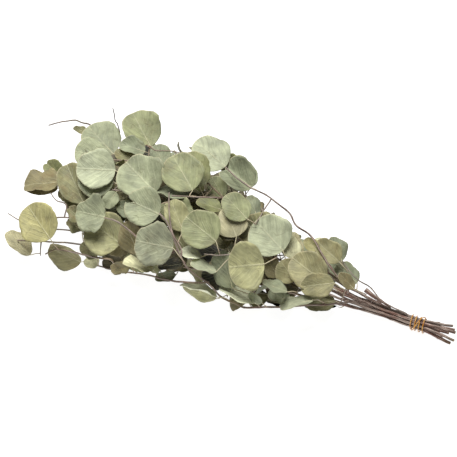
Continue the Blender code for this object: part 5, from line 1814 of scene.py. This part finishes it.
def dress_leaves(bunch):
    """Every leaf with a tint and a habit: the shown ones' own, and drawn ones for the rest."""
    noise = random.Random(LOOKS_SEED)
    dressed = []
    for owner, leaf in bunch.leaves:
        if leaf.tint is None:
            # Leaves in the bunch's middle take the darkest tints, as painted shade
            tints = CORE_SHADE_TINTS if is_core(leaf) else HIDDEN_TINTS
            leaf = leaf._replace(tint=noise.choice(tints), habit=noise.choice(HIDDEN_HABITS))
        dressed.append((owner, leaf))
    return dressed


# How the tubes of each kind are drawn
STALK_TUBES = {
    "Ring spacing": 3 * MM, "Sides": 6, "Joint spacing": 1.0, "Joint swelling": 0.0,
    "Lumps": 0.2, "Stray": 0.0, "Seed": 0.0,
}
BARK_TUBES = {
    "Ring spacing": 2.5 * MM, "Sides": 10, "Joint spacing": 34 * MM, "Joint swelling": 0.34,
    "Lumps": 0.26, "Stray": 4 * MM,
}
CUT_WOOD_TUBES = {
    "Ring spacing": 0.6 * MM, "Sides": 12, "Joint spacing": 1.0, "Joint swelling": 0.0,
    "Lumps": 0.2, "Stray": 4 * MM,
}
ELASTIC_TUBES = {
    "Ring spacing": 1.5 * MM, "Sides": 10, "Joint spacing": 1.0, "Joint swelling": 0.0,
    "Lumps": 0.12, "Stray": 0.0, "Seed": 0.0,
}


def make_stems(bunch):
    """Each stem's blades, stalks, wood and cut end, grown over its solid."""
    blades, tubes = blade_growth(), tube_growth()
    leaf, stalk, bark, cut_wood = leaf_finish(), stalk_finish(), bark_finish(), cut_wood_finish()
    plan = blade_plan()
    leaves = dress_leaves(bunch)
    axis = bundle_axis(bunch)
    for number in range(len(STEMS)):
        node = f"leafy_stem_{number + 1}"
        noise = random.Random(LOOKS_SEED + number)
        own = [item for owner, item in leaves if owner == number]
        shoots = [shoot for shoot in bunch.shoots if shoot.stem == number]
        table = leaf_table(f"leaf_table_{number + 1}", own, noise)
        piece = grown(f"blades_{number + 1}", table, blades, {
            "Plan": plan, "Thickness": LEAF_THICKNESS, "Crinkle": CRINKLE, "Finish": leaf})
        place_piece(piece, node)
        mesh = path_mesh("stalk_paths", [stalk_path(item, axis) for item in own])
        piece = grown(f"stalks_{number + 1}", mesh, tubes, {**STALK_TUBES, "Finish": stalk})
        place_piece(piece, node)
        mesh = path_mesh("wood_paths", [stem_path(shoot, axis) for shoot in shoots] + bud_paths(own, noise))
        piece = grown(f"wood_{number + 1}", mesh, tubes, {
            **BARK_TUBES, "Seed": float(number), "Finish": bark})
        place_piece(piece, node)
        mesh = path_mesh("cut_path", [cut_end_path(shoots[0], axis)])
        piece = grown(f"cut_end_{number + 1}", mesh, tubes, {
            **CUT_WOOD_TUBES, "Seed": float(number), "Finish": cut_wood})
        place_piece(piece, node)
    mesh = path_mesh("elastic_paths", tie_paths())
    piece = grown("elastic", mesh, tubes, {**ELASTIC_TUBES, "Finish": elastic_finish()})
    place_piece(piece, "elastic_tie")
    bpy.data.objects.remove(plan)


# The studio: the table's size, tint and glow, the light all round, and the large lamp's
# power, size, place and aim
FLOOR_SIZE = 8.0
FLOOR_TINT = "#9a9a9a"
FLOOR_GLOW = 0.93
WORLD_LIGHT = 0.15
KEY_POWER = 36.0
KEY_SIZE = 1.0
KEY_PLACE = Vector((-0.55, 0.1, 1.6))
KEY_AIM = Vector((-0.25, 0.0, 0.05))


def make_floor():
    """The plain white table, lit from within: as white as in the picture, its shadows faint."""
    half = FLOOR_SIZE / 2
    corners = [(-half, -half, 0), (half, -half, 0), (half, half, 0), (-half, half, 0)]
    mesh = bpy.data.meshes.new("floor")
    mesh.from_pydata(corners, [], [(0, 1, 2, 3)])
    floor = bpy.data.objects.new("floor", mesh)
    bpy.context.scene.collection.objects.link(floor)
    material, _, _ = new_finish(
        "matt white light table", Base_Color=colour(FLOOR_TINT), Roughness=0.9,
        Emission_Color=(1.0, 1.0, 1.0, 1.0), Emission_Strength=FLOOR_GLOW)
    mesh.materials.append(material)


def make_light():
    """Even white light all round, and one large soft light from above."""
    scene = bpy.context.scene
    world = bpy.data.worlds.new("studio")
    world.use_nodes = True
    sky = world.node_tree.nodes["Background"]
    sky.inputs["Color"].default_value = (1.0, 1.0, 1.0, 1.0)
    sky.inputs["Strength"].default_value = WORLD_LIGHT
    scene.world = world
    scene.view_settings.view_transform = "Standard"
    lamp = bpy.data.lights.new("soft_light", "AREA")
    lamp.energy = KEY_POWER
    lamp.size = KEY_SIZE
    soft = bpy.data.objects.new("soft_light", lamp)
    soft.location = KEY_PLACE
    soft.rotation_euler = (KEY_AIM - KEY_PLACE).to_track_quat("-Z", "Y").to_euler()
    scene.collection.objects.link(soft)


def make_camera():
    """The photograph's view, square on to the picture's plane."""
    data = bpy.data.cameras.new("camera")
    data.sensor_width = 36.0
    data.lens = data.sensor_width * SIGHT_DISTANCE / (PICTURE_SIZE * PIXEL)
    camera = bpy.data.objects.new("camera", data)
    bpy.context.scene.collection.objects.link(camera)
    turn = Matrix((RIGHT, UP, BACK)).transposed()
    camera.matrix_world = Matrix.Translation(VIEWER) @ turn.to_4x4()
    bpy.context.scene.camera = camera


def main():
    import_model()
    bunch = Bunch()
    grow_stems(bunch)
    grow_bare_twigs(bunch)
    place_shown(bunch)
    grow_side_twigs(bunch)
    grow_leaves(bunch, LEAF_TOTAL)
    # What only the looks have: leaves in the picture's gaps, and deep ones by the rule
    for filler in FILLERS:
        moved_root(filler, bunch)
    kept = len(bunch.leaves)
    grow_leaves(bunch, FULL_TOTAL)
    bunch.leaves[kept:] = [item for item in bunch.leaves[kept:] if is_deep(item[1])]
    make_stems(bunch)
    make_floor()
    make_light()
    make_camera()


main()
